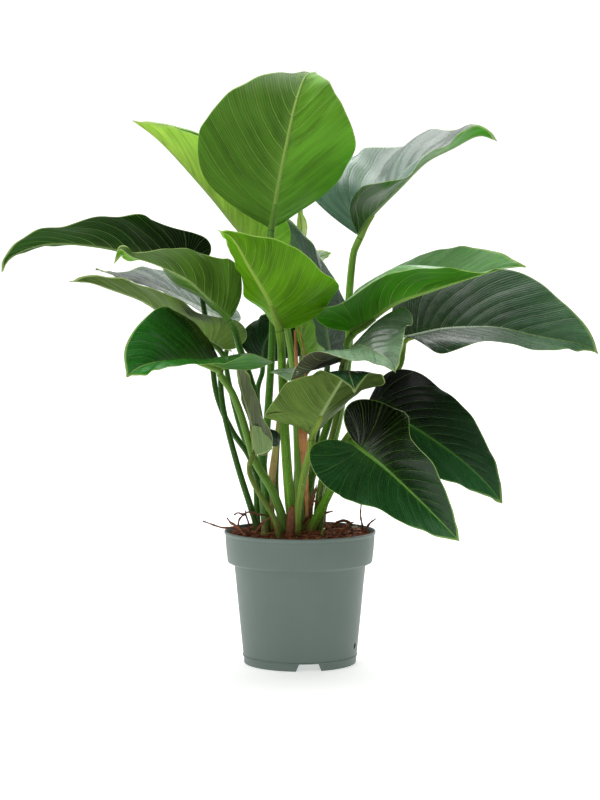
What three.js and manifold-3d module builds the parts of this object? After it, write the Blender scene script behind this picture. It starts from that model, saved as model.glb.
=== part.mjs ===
// Green beauty philodendron in a plastic nursery pot.
// Millimetres, +Z up. The origin is on the floor below the middle of the pot,
// +X runs to the right and -Y runs to the front.

import * as THREE from "three";
import { mergeVertices } from "three/addons/utils/BufferGeometryUtils.js";
import Module from "manifold-3d";

const wasm = await Module();
wasm.setup();

// Fits
const GAP = 0.3;
const SOCKET_GAP = 0.4;
const WELD = 1e-4;

// Pot
const POT_HEIGHT = 184;
const RIM_RADIUS = 105;
const COLLAR_FOOT_RADIUS = 100.6;
const COLLAR_DEPTH = 45;
const WAIST_RADIUS = 91.3;
const BASE_RADIUS = 79;
const POT_WALL = 2;
const RIM_EDGE = 0.8;
const RIM_BAND = 4.2;
const RIM_STEP = 1.2;
const COLLAR_EDGE = 2;
const COLLAR_SLOPE = 2;
const WAIST_BAND = 4;
const FLOOR_LEVEL = 11;
const FLOOR_THICKNESS = 2.5;
const FOOT_INSET = 1.4;
const RIDGE_HEIGHT = 1.2;
const RIDGE_EDGE = 0.8;
const POT_SEGMENTS = 44;
const NOTCH_COUNT = 3;
const NOTCH_FIRST_ANGLE = -81;
const NOTCH_WIDTH_BELOW = 36;
const NOTCH_WIDTH_ABOVE = 27;
const NOTCH_HEIGHT = 10;
const SIDE_HOLE_ANGLES = [-17, 163];
const SIDE_HOLE_RADIUS = 3.8;
const SIDE_HOLE_LEVEL = 24;
const FLOOR_HOLE_COUNT = 6;
const FLOOR_HOLE_RADIUS = 5;
const FLOOR_HOLE_CIRCLE = 52;
const HOLE_SEGMENTS = 14;
const CUTTER_LENGTH = 20;

// Soil
const SOIL_EDGE_LEVEL = 177;
const SOIL_CROWN = 9;
const SOIL_EDGE_GAP = 2.4;
const SOIL_ROUGHNESS = 1.2;
const LUMP_WAVES = [0.21, 0.17];
const SOIL_RINGS = 5;
const SOCKET_DEPTH = 24;
const SOCKET_TOP = 6;
const ROOT_SOCKET_TOP = 7;

// Leaves
const BLADE_THICKNESS = 1.2;
const RIB_SAMPLES = 48;
const SAMPLES_PER_SPAN = 20;
const STALK_RISE = 4;
const RUN_UNDER_BLADE = [2, 18];
const APPROACH = [14, 9];
const TUBE_STEP = 26;
const STALK_SIDES = 7;
const VEIN_FAN = 0.06;
const VEIN_SWEEP = 1.25;
const ROW_SPREAD = 1.15;
const LOBE_NECK = 0.2;
const LOBE_BACK = 1.5;
const LOBE_CORNER = 1.25;
const TIP_WIDTH = 0.16;
const TIP_START = 0.9;
const NEARLY_FLAT = 1e-4;
const FULL = { lobeRows: 4, sideRows: 9, columns: 3 };
const PLAIN = { lobeRows: 3, sideRows: 6, columns: 2 };

// Each leaf: points of its rib from base to tip; the direction its upper side faces half way along;
// its twist from base to tip; then, for its left and right half seen from above with the tip
// ahead, the width, the fold up from flat at four stations, the curl from rib to margin at base
// and tip, the ripple of the margin (depth, count, phase) and the lobe behind the base as a share
// of the length. The stalk runs from its foot in the soil through its points to the blade, which
// it meets from a point behind and below the base, its approach.
const LEAVES = {
  // large upright leaf at the top, its underside to the front and its end rolled back
  crown: {
    tone: "bright",
    rib: [
      [-40, 0, 600], [-28, -18, 666], [-17, -26, 720], [-6, -16, 770], [7, 14, 808], [21, 58, 819],
    ],
    face: [-0.08, 1, -0.05],
    twist: -13,
    width: [104, 126],
    fold: [[42, 26, 6, -9], [16, 19, 14, 19]],
    curl: [[3, 7], [10, -1]],
    wave: [[2.5, 2, 0.86], [4.5, 2.1, 0.29]],
    lobe: [-0.03, -0.05],
    widest: 0.39,
    shoulder: 0.42,
    foot: [-48, 22],
    stalk: [[-53, 22, 251], [-46, 20, 328], [-42, 16, 384], [-38, 8, 461], [-38, -4, 544]],
    stalkRadius: [6, 4.5],
  },
  // bright leaf in the middle, its underside to the front
  centre: {
    tone: "bright",
    rib: [[-26, -84, 467], [-43, -104, 506], [-67, -122, 548], [-88, -134, 585], [-109, -140, 598]],
    face: [0.51, 0.66, 0.55],
    twist: -30,
    width: [96, 58],
    fold: [[36, 14, 29, -11], [51, 30, 17, -15]],
    curl: [[0, -7], [-10, 5]],
    wave: [[5, 2, 0.84], [4, 2.2, 0.13]],
    lobe: [0.08, 0.07],
    widest: 0.26,
    shoulder: 0.44,
    foot: [-9, -37],
    stalk: [[-14, -41, 230], [-20, -47, 313], [-23, -60, 382], [-25, -76, 434]],
    stalkRadius: [7.4, 5.2],
  },
  // yellow-green leaf that rises behind to the left
  upper_left: {
    tone: "bright",
    rib: [
      [-49, 70, 563], [-86, 80, 600], [-125, 90, 647], [-180, 98, 708], [-209, 98, 735],
      [-237, 94, 754],
    ],
    face: [0.74, 0.05, 0.68],
    twist: -15,
    width: [76, 79],
    fold: [[59, 59, 57, 56], [60, 64, 71, 59]],
    curl: [[3, -1], [-1, 3]],
    wave: [[3, 2.3, 0.05], [2, 2.3, 0.39]],
    lobe: [0.08, 0.08],
    widest: 0.34,
    shoulder: 0.47,
    foot: [1, -14],
    stalk: [[-2, -12, 255], [-6, 2, 364], [-14, 20, 440], [-28, 44, 502]],
    stalkRadius: [6, 4.2],
  },
  // dark leaf that reaches furthest left
  far_left: {
    tone: "dark",
    rib: [
      [-150, 58, 552], [-210, 53, 561], [-280, 48, 576], [-350, 43, 580], [-400, 42, 564],
      [-417, 46, 541],
    ],
    face: [0.01, 0.31, 0.95],
    twist: 49,
    width: [83, 70],
    fold: [[54, 40, 8, -9], [18, 14, 24, 33]],
    curl: [[-23, -23], [-11, 6]],
    wave: [[6.5, 5.5, 0.41], [3, 3, 0.88]],
    lobe: [0.09, 0.08],
    widest: 0.25,
    shoulder: 0.41,
    foot: [-46, 2],
    stalk: [
      [-53, 8, 232], [-70, 14, 284], [-95, 20, 321], [-116, 30, 370], [-125, 44, 432],
      [-136, 47, 502],
    ],
    stalkRadius: [4.5, 3.4],
  },
  // cupped leaf at mid height on the left, with a turned tip
  mid_left: {
    tone: "olive",
    rib: [
      [-94, -62, 478], [-127, -68, 508], [-151, -74, 530], [-191, -84, 550], [-224, -88, 561],
      [-241, -86, 572], [-249, -84, 552],
    ],
    face: [-0.03, 0.98, 0.2],
    twist: 51,
    width: [73, 69],
    fold: [[71, 59, 70, 50], [56, 57, 96, 40]],
    curl: [[0, 13], [5, 4]],
    wave: [[10, 2.7, 0.08], [7, 2.5, 0.39]],
    lobe: [0, -0.03],
    widest: 0.27,
    shoulder: 0.16,
    foot: [-46, -22],
    stalk: [
      [-48, -26, 243], [-52, -30, 291], [-54, -34, 329], [-60, -38, 367], [-71, -46, 407],
      [-83, -58, 443],
    ],
    stalkRadius: [6, 4.2],
  },
  // olive leaf on the left, folded along its rib
  olive_left: {
    tone: "olive",
    rib: [
      [-108, 4, 436], [-151, -8, 462], [-185, -17, 482], [-215, -24, 502], [-258, -31, 518],
      [-286, -35, 527], [-314, -36, 528],
    ],
    face: [0.39, 0.29, 0.87],
    twist: 13,
    width: [70, 44],
    fold: [[40, 12, 12, 26], [21, 21, 17, 28]],
    curl: [[-10, 2], [-2, -3]],
    wave: [[4.5, 3.4, 0.74], [4, 3.2, 0.05]],
    lobe: [0.09, 0.09],
    widest: 0.18,
    shoulder: 0.41,
    foot: [-60, -14],
    stalk: [[-69, -16, 221], [-84, -18, 269], [-99, -20, 325], [-107, -18, 366], [-109, -8, 404]],
    stalkRadius: [4.6, 3.4],
  },
  // grey leaf behind the olive one
  grey_left: {
    tone: "grey",
    rib: [
      [-104, 115, 469], [-135, 112, 485], [-187, 106, 512], [-220, 102, 526], [-252, 98, 533],
      [-290, 92, 545],
    ],
    face: [0.41, -0.2, 0.89],
    twist: 6,
    width: [60, 64],
    fold: [[8, 13, 6, 11], [13, 13, 14, -9]],
    curl: [[0, -1], [-1, -1]],
    wave: [[2, 2, 1], [3, 1.9, 0.14]],
    lobe: [0.12, 0.1],
    widest: 0.28,
    shoulder: 0.43,
    foot: [-60, 30],
    stalk: [
      [-61, 36, 236], [-65, 43, 270], [-75, 50, 298], [-85, 60, 325], [-95, 76, 360],
      [-103, 94, 394], [-106, 108, 422],
    ],
    stalkRadius: [4.5, 3.2],
  },
  // low dark leaf on the left
  low_left: {
    tone: "dark",
    rib: [
      [-105, -86, 413], [-141, -108, 423], [-180, -130, 423], [-208, -143, 418], [-228, -152, 405],
    ],
    face: [0.27, -0.41, 0.87],
    twist: -27,
    width: [78, 85],
    fold: [[51, 35, 41, 21], [29, 32, 41, 20]],
    curl: [[-30, -13], [-14, -6]],
    wave: [[4, 3.4, 0.95], [4, 3.2, 0.94]],
    lobe: [0.38, 0],
    widest: 0.26,
    shoulder: 0.71,
    foot: [-20, -46],
    stalk: [[-37, -47, 242], [-60, -50, 282], [-69, -54, 310], [-80, -60, 348], [-92, -72, 380]],
    stalkRadius: [6.5, 4.2],
    approach: [3, 6],
  },
  // small dark leaf deep in the left of the crown
  deep_left: {
    tone: "dark",
    detail: PLAIN,
    rib: [[-54, 67, 410], [-50, 62, 438], [-38, 60, 465], [-24, 63, 495]],
    face: [-0.29, -0.96, -0.05],
    twist: -12,
    width: [38, 59],
    fold: [[-10, -8, -24, -15], [-12, -6, 1, -6]],
    curl: [[0, -5], [1, 2]],
    wave: [[3, 1.8, 0.03], [3, 2.2, 0.09]],
    lobe: [-0.12, -0.14],
    widest: 0.34,
    shoulder: 0.6,
    foot: [-50, 42],
    stalk: [[-54, 47, 249], [-57, 56, 319], [-60, 64, 372]],
    stalkRadius: [5, 3.2],
  },
  // small leaf deep in the middle
  deep_middle: {
    tone: "olive",
    detail: PLAIN,
    rib: [[5, 8, 421], [4, 2, 448], [4, 4, 478], [8, 14, 508]],
    face: [-0.76, -0.65, -0.06],
    twist: -6,
    width: [31, 33],
    fold: [[-35, -23, -13, -18], [-42, -3, 3, -14]],
    curl: [[-2, 3], [0, 7]],
    wave: [[2, 2, 0], [4, 2.2, 0.28]],
    lobe: [-0.03, -0.07],
    widest: 0.21,
    shoulder: 0.38,
    foot: [-8, 20],
    stalk: [[0, 16, 252], [4, 12, 350], [5, 10, 394]],
    stalkRadius: [4.5, 3],
  },
  // tall dark leaf behind the centre
  tall_back: {
    tone: "dark",
    rib: [[42, 96, 427], [32, 98, 486], [8, 106, 555], [-12, 116, 595], [-25, 126, 625]],
    face: [0.21, -0.96, 0.17],
    twist: -16,
    width: [28, 48],
    fold: [[-18, -18, -18, -18], [-25, -24, -34, -10]],
    curl: [[0, 0], [-6, -5]],
    wave: [[2, 2, 0], [2.5, 1.8, 0.91]],
    lobe: [0.06, 0.1],
    widest: 0.29,
    shoulder: 0.48,
    foot: [12, 24],
    stalk: [[16, 40, 250], [28, 68, 346], [38, 88, 399]],
    stalkRadius: [5.5, 4],
  },
  // silvery leaf at the upper right
  upper_right: {
    tone: "grey",
    rib: [
      [81, 60, 592], [100, 58, 620], [140, 54, 660], [175, 50, 694], [212, 46, 713],
      [248, 42, 730], [274, 38, 722],
    ],
    face: [-0.63, -0.25, 0.73],
    twist: -9,
    width: [125, 104],
    fold: [[75, 19, 14, 22], [59, 29, 20, 58]],
    curl: [[3, -27], [-7, -14]],
    wave: [[11.5, 4.1, 0.76], [10, 3.3, 0.34]],
    lobe: [0, -0.1],
    widest: 0.28,
    shoulder: 0.49,
    foot: [28, 26],
    stalk: [
      [36, 34, 264], [53, 40, 334], [65, 50, 403], [69, 56, 445], [69, 58, 503], [74, 60, 560],
    ],
    stalkRadius: [8, 4.4],
    approach: [12, 1],
  },
  // bright cupped leaf on the right
  bright_right: {
    tone: "bright",
    rib: [
      [71, -10, 461], [91, -16, 471], [131, -24, 499], [178, -30, 516], [233, -34, 534],
      [275, -36, 546], [307, -38, 549],
    ],
    face: [-0.37, -0.1, 0.92],
    twist: 46,
    width: [82, 118],
    fold: [[50, 37, 34, 40], [41, 45, 21, 25]],
    curl: [[11, -19], [-59, 17]],
    wave: [[4, 1.9, 0.14], [12, 2.4, 0.08]],
    lobe: [0.12, 0.14],
    widest: 0.4,
    shoulder: 0.51,
    foot: [3, 5],
    stalk: [[12, 4, 239], [25, 5, 288], [40, 7, 336], [56, 3, 392], [66, -4, 434]],
    stalkRadius: [6, 4.6],
  },
  // wide dark leaf on the right
  dark_right: {
    tone: "dark",
    rib: [
      [147, 52, 449], [197, 50, 460], [238, 48, 463], [279, 46, 462], [335, 44, 450],
      [392, 42, 440], [417, 40, 427],
    ],
    face: [0.01, -0.61, 0.79],
    twist: 7,
    width: [110, 85],
    fold: [[16, 12, 25, 44], [31, 28, 24, 12]],
    curl: [[-4, 0], [-28, 17]],
    wave: [[2.5, 2, 0.38], [6.5, 3.1, 0.97]],
    lobe: [0.05, -0.05],
    widest: 0.22,
    shoulder: 0.65,
    foot: [24, 4],
    stalk: [[30, 8, 239], [58, 14, 301], [102, 30, 355], [138, 48, 405], [144, 56, 424]],
    stalkRadius: [5, 3.6],
    approach: [3, 5],
  },
  // glossy leaf that arches to the front
  mid_right: {
    tone: "grey",
    rib: [
      [56, -74, 422], [66, -96, 435], [79, -120, 444], [96, -146, 438], [116, -164, 427],
      [125, -176, 411],
    ],
    face: [-0.4, -0.21, 0.89],
    twist: 43,
    width: [94, 121],
    fold: [[37, 30, 0, 46], [-1, 2, 38, 51]],
    curl: [[-36, -3], [2, -8]],
    wave: [[7, 1.5, 0.15], [7, 2.2, 0.79]],
    lobe: [0.08, 0.1],
    widest: 0.23,
    shoulder: 0.51,
    foot: [22, -16],
    stalk: [[30, -17, 255], [50, 0, 337], [60, -6, 371], [66, -42, 399]],
    stalkRadius: [5, 3.6],
  },
  // low olive leaf with its end folded to the front
  low_centre: {
    tone: "olive",
    rib: [
      [13, -80, 321], [31, -98, 356], [49, -116, 388], [62, -140, 411], [65, -166, 407],
      [72, -180, 386],
    ],
    face: [-0.28, 0.59, 0.76],
    twist: -16,
    width: [88, 84],
    fold: [[25, 23, -9, 7], [13, 7, -1, 30]],
    curl: [[14, -17], [-3, -4]],
    wave: [[2, 1.9, 0], [5, 2.1, 0.17]],
    lobe: [0, -0.16],
    widest: 0.12,
    shoulder: 0.54,
    foot: [-5, -53],
    stalk: [[-2, -58, 225], [4, -64, 260], [11, -72, 291]],
    stalkRadius: [6, 4.6],
  },
  // young leaf, still rolled
  rolled: {
    tone: "olive",
    detail: PLAIN,
    rib: [[-60, -68, 298], [-65, -66, 335], [-75, -62, 369], [-83, -56, 403], [-91, -50, 433]],
    face: [0.66, 0.75, 0.06],
    twist: 6,
    width: [36, 6],
    fold: [[14, -16, -11, 15], [7, 9, 5, 3]],
    curl: [[-4, -4], [2, 0]],
    wave: [[0.5, 1, 0.5], [0.5, 1, 0.99]],
    lobe: [0.05, 0.02],
    widest: 0.28,
    shoulder: 0.47,
    foot: [-30, -62],
    stalk: [[-38, -65, 214], [-57, -67, 245], [-68, -68, 269], [-68, -68, 284]],
    stalkRadius: [4.2, 3],
  },
  // large dark leaf at the front right
  front_right: {
    tone: "dark",
    rib: [[76, -112, 310], [114, -128, 281], [145, -140, 253], [180, -146, 219], [211, -146, 187]],
    face: [-0.11, -0.97, 0.24],
    twist: 11,
    width: [75, 81],
    fold: [[-2, 47, 34, 24], [20, 35, 41, 21]],
    curl: [[-2, 7], [1, 11]],
    wave: [[3, 3.8, 0.67], [5.5, 3.4, 0.47]],
    lobe: [0.26, 0.24],
    widest: 0.18,
    shoulder: 0.34,
    foot: [16, -38],
    stalk: [[27, -44, 214], [43, -62, 249], [59, -88, 281]],
    stalkRadius: [6.5, 4.4],
  },
  // dark leaf behind the front right one
  behind_front: {
    tone: "dark",
    rib: [
      [94, -8, 361], [116, -18, 352], [152, -28, 331], [185, -34, 310], [222, -38, 283],
      [256, -38, 251], [278, -34, 223],
    ],
    face: [0.19, -0.84, 0.5],
    twist: -6,
    width: [78, 70],
    fold: [[23, -4, -1, 15], [8, 12, 16, 13]],
    curl: [[0, 0], [2, 2]],
    wave: [[4, 2.7, 0.03], [2, 2, 0.01]],
    lobe: [0.01, 0.1],
    widest: 0.29,
    shoulder: 0.46,
    foot: [27, -27],
    stalk: [[36, -24, 229], [57, -18, 283], [77, -12, 324]],
    stalkRadius: [5, 3.8],
  },
  // young leaf behind the centre, still narrow
  back_bud: {
    tone: "bright",
    detail: PLAIN,
    rib: [[8, 196, 499], [4, 198, 554], [3, 198, 598], [-2, 196, 641]],
    face: [-0.38, -0.93, 0],
    twist: 24,
    width: [13, 25],
    fold: [[25, 25, 25, 25], [29, 39, 46, 17]],
    curl: [[0, 0], [8, 6]],
    wave: [[0, 1, 0.5], [2.5, 2.3, 0.08]],
    lobe: [0.02, 0.02],
    widest: 0.33,
    shoulder: 0.51,
    foot: [-28, 42],
    stalk: [[-34, 60, 247], [-28, 104, 341], [-12, 160, 427], [0, 186, 467]],
    stalkRadius: [4, 3],
    approach: [14, 6],
  },
  // small leaf behind the centre
  back_small: {
    tone: "olive",
    detail: PLAIN,
    rib: [[4, 160, 500], [8, 162, 534], [24, 160, 559], [47, 156, 568]],
    face: [-0.37, -0.92, 0.12],
    twist: -1,
    width: [27, 23],
    fold: [[6, 5, 4, 6], [6, 6, 6, 7]],
    curl: [[0, 0], [0, 0]],
    wave: [[1, 2, 0], [1, 2, 1]],
    lobe: [0.02, 0.02],
    widest: 0.28,
    shoulder: 0.42,
    foot: [-12, 42],
    stalk: [[-6, 66, 247], [0, 110, 357], [2, 146, 442]],
    stalkRadius: [3.6, 2.6],
  },
};

// Short stems and dried sheaths that stand in the soil among the stalks
const STUBS = {
  stem_left: { path: [[-48, -40, 154], [-48, -40, 186], [-50, -41, 201]], radius: [7, 5.5], tone: "stem" },
  stem_centre: { path: [[-16, -18, 154], [-16, -18, 190], [-17, -18, 216]], radius: [7, 5], tone: "stem" },
  stem_right: { path: [[31, -47, 154], [31, -47, 184], [33, -49, 194]], radius: [5.5, 4], tone: "stem" },
  sheath_front: {
    path: [[-14, -60, 154], [-14, -60, 182], [-13, -60, 222]],
    radius: [5.5, 1.2],
    tone: "sheath",
  },
  sheath_left: {
    path: [
      [-38, -8, 154], [-38, -8, 190], [-40, -8, 228], [-39, -8, 256], [-33, -10, 304], [-28, -12, 353],
    ],
    radius: [4.5, 2.6],
    tone: "sheath",
  },
  sheath_tall: {
    path: [[10, -26, 154], [10, -26, 190], [8, -28, 250], [5, -28, 300], [3, -28, 344]],
    radius: [4, 4.5],
    tone: "sheath",
  },
  sheath_upper: {
    path: [[12, -8, 154], [12, -8, 190], [10, -9, 250], [8, -5, 350], [1, -4, 402], [-6, -4, 456]],
    radius: [2.6, 1.6],
    tone: "sheath",
  },
};

// Thin aerial roots on the soil
const ROOTS = {
  root_left: {
    path: [[-66, -34, 168], [-76, -32, 186], [-90, -27, 191], [-108, -20, 190], [-134, -14, 198]],
    radius: [1.6, 1],
  },
  root_loop: {
    path: [[-84, 6, 168], [-86, 6, 184], [-84, 8, 198], [-76, 10, 204], [-72, 8, 195]],
    radius: [1.4, 1],
  },
  root_right: {
    path: [[86, 10, 168], [87, 10, 186], [84, 9, 204], [85, 8, 219]],
    radius: [1.6, 0.9],
  },
  root_back: {
    path: [[44, 30, 168], [46, 32, 186], [60, 34, 192], [78, 30, 186]],
    radius: [1.5, 1],
  },
};
const STUB_SIDES = 8;
const ROOT_SIDES = 6;
const ROOT_STEP = 14;

// Finishes
const FINISH = {
  pot: { color: 0x6c7872, roughness: 0.62, metalness: 0 },
  soil: { color: 0x4a2c1d, roughness: 0.95, metalness: 0 },
  bright: { color: 0x5d9530, roughness: 0.42, metalness: 0 },
  dark: { color: 0x1f4a24, roughness: 0.34, metalness: 0 },
  olive: { color: 0x5f7a3c, roughness: 0.45, metalness: 0 },
  grey: { color: 0x7f958b, roughness: 0.3, metalness: 0 },
  stalk: { color: 0x5b8a35, roughness: 0.45, metalness: 0 },
  stem: { color: 0x8a9a62, roughness: 0.6, metalness: 0 },
  sheath: { color: 0x9a5b34, roughness: 0.75, metalness: 0 },
  root: { color: 0x3b2a20, roughness: 0.9, metalness: 0 },
};

function vector([x, y, z]) {
  return new THREE.Vector3(x, y, z);
}

function radians(degrees) {
  return THREE.MathUtils.degToRad(degrees);
}

function meshFrom(name, geometry, finish) {
  const mesh = new THREE.Mesh(geometry, new THREE.MeshStandardMaterial(FINISH[finish]));
  mesh.name = name;
  return mesh;
}

function geometryOf(points, triangles) {
  const geometry = new THREE.BufferGeometry();
  const flat = points.flatMap((p) => [p.x, p.y, p.z]);
  geometry.setAttribute("position", new THREE.Float32BufferAttribute(flat, 3));
  geometry.setIndex(triangles.flat());
  return geometry;
}

// Solid for cutting from a closed three.js geometry
function solidOf(geometry) {
  const bare = geometry.clone();
  bare.deleteAttribute("normal");
  bare.deleteAttribute("uv");
  const welded = mergeVertices(bare, WELD);
  return new wasm.Manifold(
    new wasm.Mesh({
      numProp: 3,
      vertProperties: new Float32Array(welded.attributes.position.array),
      triVerts: new Uint32Array(welded.index.array),
    }),
  );
}

function geometryOfSolid(solid) {
  const mesh = solid.getMesh();
  const geometry = new THREE.BufferGeometry();
  geometry.setAttribute("position", new THREE.BufferAttribute(mesh.vertProperties, 3));
  geometry.setIndex(new THREE.BufferAttribute(mesh.triVerts, 1));
  return geometry;
}

function cutAll(geometry, cutters) {
  const whole = cutters.reduce((body, cutter) => body.subtract(solidOf(cutter)), solidOf(geometry));
  return geometryOfSolid(whole);
}

// Tapered tube with round section and flat ends along a smooth path
function tubeRings(path, step) {
  const curve = new THREE.CatmullRomCurve3(path, false, "catmullrom", 0.5);
  const spans = path.length - 1;
  const places = [0];
  for (let span = 0; span < spans; span += 1) {
    const parts = Math.max(1, Math.round(path[span].distanceTo(path[span + 1]) / step));
    for (let part = 1; part <= parts; part += 1) {
      places.push((span + part / parts) / spans);
    }
  }
  return places.map((t) => ({ centre: curve.getPoint(t), along: curve.getTangent(t) }));
}

function tube(path, radius, { sides, step, extra = 0, below = Infinity }) {
  const rings = tubeRings(path.map(vector), step);
  const lengths = [0];
  for (let i = 1; i < rings.length; i += 1) {
    lengths.push(lengths[i - 1] + rings[i].centre.distanceTo(rings[i - 1].centre));
  }
  const total = lengths[lengths.length - 1];
  const points = [];
  let across = new THREE.Vector3(1, 0, 0);
  let used = 0;
  for (let i = 0; i < rings.length; i += 1) {
    const { centre, along } = rings[i];
    across = across.clone().addScaledVector(along, -across.dot(along)).normalize();
    const third = along.clone().cross(across);
    const r = THREE.MathUtils.lerp(radius[0], radius[1], lengths[i] / total) + extra;
    const slip = i === 0 ? -extra : 0;
    for (let side = 0; side < sides; side += 1) {
      const angle = (2 * Math.PI * side) / sides;
      points.push(
        centre
          .clone()
          .addScaledVector(across, r * Math.cos(angle))
          .addScaledVector(third, r * Math.sin(angle))
          .addScaledVector(along, slip),
      );
    }
    used += 1;
    if (centre.z > below) break;
  }
  return geometryOf(points, tubeTriangles(used, sides));
}

function tubeTriangles(rings, sides) {
  const triangles = [];
  for (let ring = 0; ring + 1 < rings; ring += 1) {
    for (let side = 0; side < sides; side += 1) {
      const a = ring * sides + side;
      const b = ring * sides + ((side + 1) % sides);
      triangles.push([a, b, b + sides], [a, b + sides, a + sides]);
    }
  }
  const last = (rings - 1) * sides;
  for (let side = 1; side + 1 < sides; side += 1) {
    triangles.push([0, side + 1, side], [last, last + side, last + side + 1]);
  }
  return triangles;
}

// Value between evenly spaced stations along the rib
function station(values, u) {
  const place = THREE.MathUtils.clamp(u, 0, 1) * (values.length - 1);
  const first = Math.min(Math.floor(place), values.length - 2);
  const t = place - first;
  return THREE.MathUtils.lerp(values[first], values[first + 1], t * t * (3 - 2 * t));
}

// Rib of a leaf as evenly spaced points with a frame at each
function ribOf(leaf) {
  const curve = new THREE.CatmullRomCurve3(leaf.rib.map(vector), false, "catmullrom", 0.5);
  const dense = curve.getPoints(SAMPLES_PER_SPAN * (leaf.rib.length - 1));
  const lengths = [0];
  for (let i = 1; i < dense.length; i += 1) {
    lengths.push(lengths[i - 1] + dense[i].distanceTo(dense[i - 1]));
  }
  const length = lengths[lengths.length - 1];
  const points = [];
  let k = 0;
  for (let i = 0; i <= RIB_SAMPLES; i += 1) {
    const want = (length * i) / RIB_SAMPLES;
    while (k + 2 < dense.length && lengths[k + 1] < want) k += 1;
    const t = (want - lengths[k]) / (lengths[k + 1] - lengths[k]);
    points.push(dense[k].clone().lerp(dense[k + 1], Math.min(t, 1)));
  }
  const along = points.map((_, i) => {
    const ahead = points[Math.min(i + 1, RIB_SAMPLES)];
    const behind = points[Math.max(i - 1, 0)];
    return ahead.clone().sub(behind).normalize();
  });
  return { points, along, up: transported(along, leaf), length };
}

// Upper-side direction carried along the rib from its middle, with the leaf's twist
function transported(along, leaf) {
  const middle = RIB_SAMPLES / 2;
  const square = (v, t) => v.clone().addScaledVector(t, -v.dot(t)).normalize();
  const up = [];
  up[middle] = square(vector(leaf.face), along[middle]);
  for (let i = middle + 1; i <= RIB_SAMPLES; i += 1) {
    up[i] = square(up[i - 1], along[i]);
  }
  for (let i = middle - 1; i >= 0; i -= 1) {
    up[i] = square(up[i + 1], along[i]);
  }
  return up.map((v, i) => {
    const turn = radians(leaf.twist) * (i / RIB_SAMPLES - 0.5);
    return v.clone().applyAxisAngle(along[i], turn);
  });
}

// Frame of the leaf at a distance y along the rib; behind the base it runs straight on
function frameAt(rib, y) {
  const place = THREE.MathUtils.clamp(y / rib.length, 0, 1) * RIB_SAMPLES;
  const i = Math.min(Math.floor(place), RIB_SAMPLES - 1);
  const t = place - i;
  const along = rib.along[i].clone().lerp(rib.along[i + 1], t).normalize();
  const up = rib.up[i].clone().lerp(rib.up[i + 1], t).normalize();
  const centre = rib.points[i].clone().lerp(rib.points[i + 1], t);
  if (y < 0) centre.addScaledVector(along, y);
  return { centre, along, up, right: along.clone().cross(up) };
}

function bezier(p0, p1, p2, p3, t) {
  const s = 1 - t;
  const mix = (k) => s ** 3 * p0[k] + 3 * s * s * t * p1[k] + 3 * s * t * t * p2[k] + t ** 3 * p3[k];
  return [mix(0), mix(1)];
}

// Flat outline of one half: distances from the rib and along it, base to tip
function marginOf(leaf, half, length) {
  const width = leaf.width[half];
  const lobe = leaf.lobe[half] * length;
  const widest = [width, leaf.widest * length];
  const neck = [LOBE_NECK * width, -LOBE_BACK * lobe];
  const corner = [width, -LOBE_CORNER * lobe];
  const shoulder = [width, widest[1] + leaf.shoulder * (length - widest[1])];
  const nearTip = [TIP_WIDTH * width, TIP_START * length];
  const { lobeRows, sideRows } = leaf.detail;
  const rows = [];
  for (let i = 0; i < lobeRows; i += 1) {
    const t = i / lobeRows;
    const [x, y] = bezier([0, 0], neck, corner, widest, t);
    rows.push({ x, y, start: VEIN_FAN * length * t * t });
  }
  for (let i = 0; i <= sideRows; i += 1) {
    const t = i / sideRows;
    const [x, y] = bezier(widest, shoulder, nearTip, [0, length], t);
    rows.push({ x, y, start: length * (VEIN_FAN + (1 - VEIN_FAN) * t ** ROW_SPREAD) });
  }
  return rows;
}

// Point and upper normal of one half at (x, y) on the flat outline
function surfacePoint(leaf, rib, half, x, y, travel) {
  const side = half === 0 ? -1 : 1;
  const u = y / rib.length;
  const fold = radians(station(leaf.fold[half], u));
  const curl = radians(station(leaf.curl[half], u));
  const { centre, up, right } = frameAt(rib, y);
  const bend = (Math.abs(curl) < NEARLY_FLAT ? NEARLY_FLAT : curl) / leaf.width[half];
  const slope = fold + bend * x;
  const out = (Math.sin(slope) - Math.sin(fold)) / bend;
  const rise = -(Math.cos(slope) - Math.cos(fold)) / bend;
  const normal = right
    .clone()
    .multiplyScalar(-side * Math.sin(slope))
    .addScaledVector(up, Math.cos(slope));
  const [depth, count, phase] = leaf.wave[half];
  const swing = Math.sin(2 * Math.PI * (count * travel + phase));
  const ripple = depth * (x / leaf.width[half]) ** 2 * swing;
  const point = centre
    .clone()
    .addScaledVector(right, side * out)
    .addScaledVector(up, rise)
    .addScaledVector(normal, ripple);
  return { point, normal };
}

// Grid of the whole blade: rows from base to tip, columns from one margin to the other
function bladeGrid(leaf) {
  const rib = ribOf(leaf);
  const { columns } = leaf.detail;
  const margins = [0, 1].map((half) => marginOf(leaf, half, rib.length));
  const rowCount = margins[0].length;
  const grid = [];
  for (let row = 0; row < rowCount; row += 1) {
    const line = [];
    for (let column = -columns; column <= columns; column += 1) {
      const half = column < 0 ? 0 : 1;
      const { x, y, start } = margins[half][row];
      const q = Math.abs(column) / columns;
      const along = start + (y - start) * q ** VEIN_SWEEP;
      const travel = row / (rowCount - 1);
      const place = surfacePoint(leaf, rib, half, x * q, along, travel);
      if (column === 0) place.normal = frameAt(rib, start).up;
      line.push(place);
    }
    grid.push(line);
  }
  return grid;
}

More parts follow.
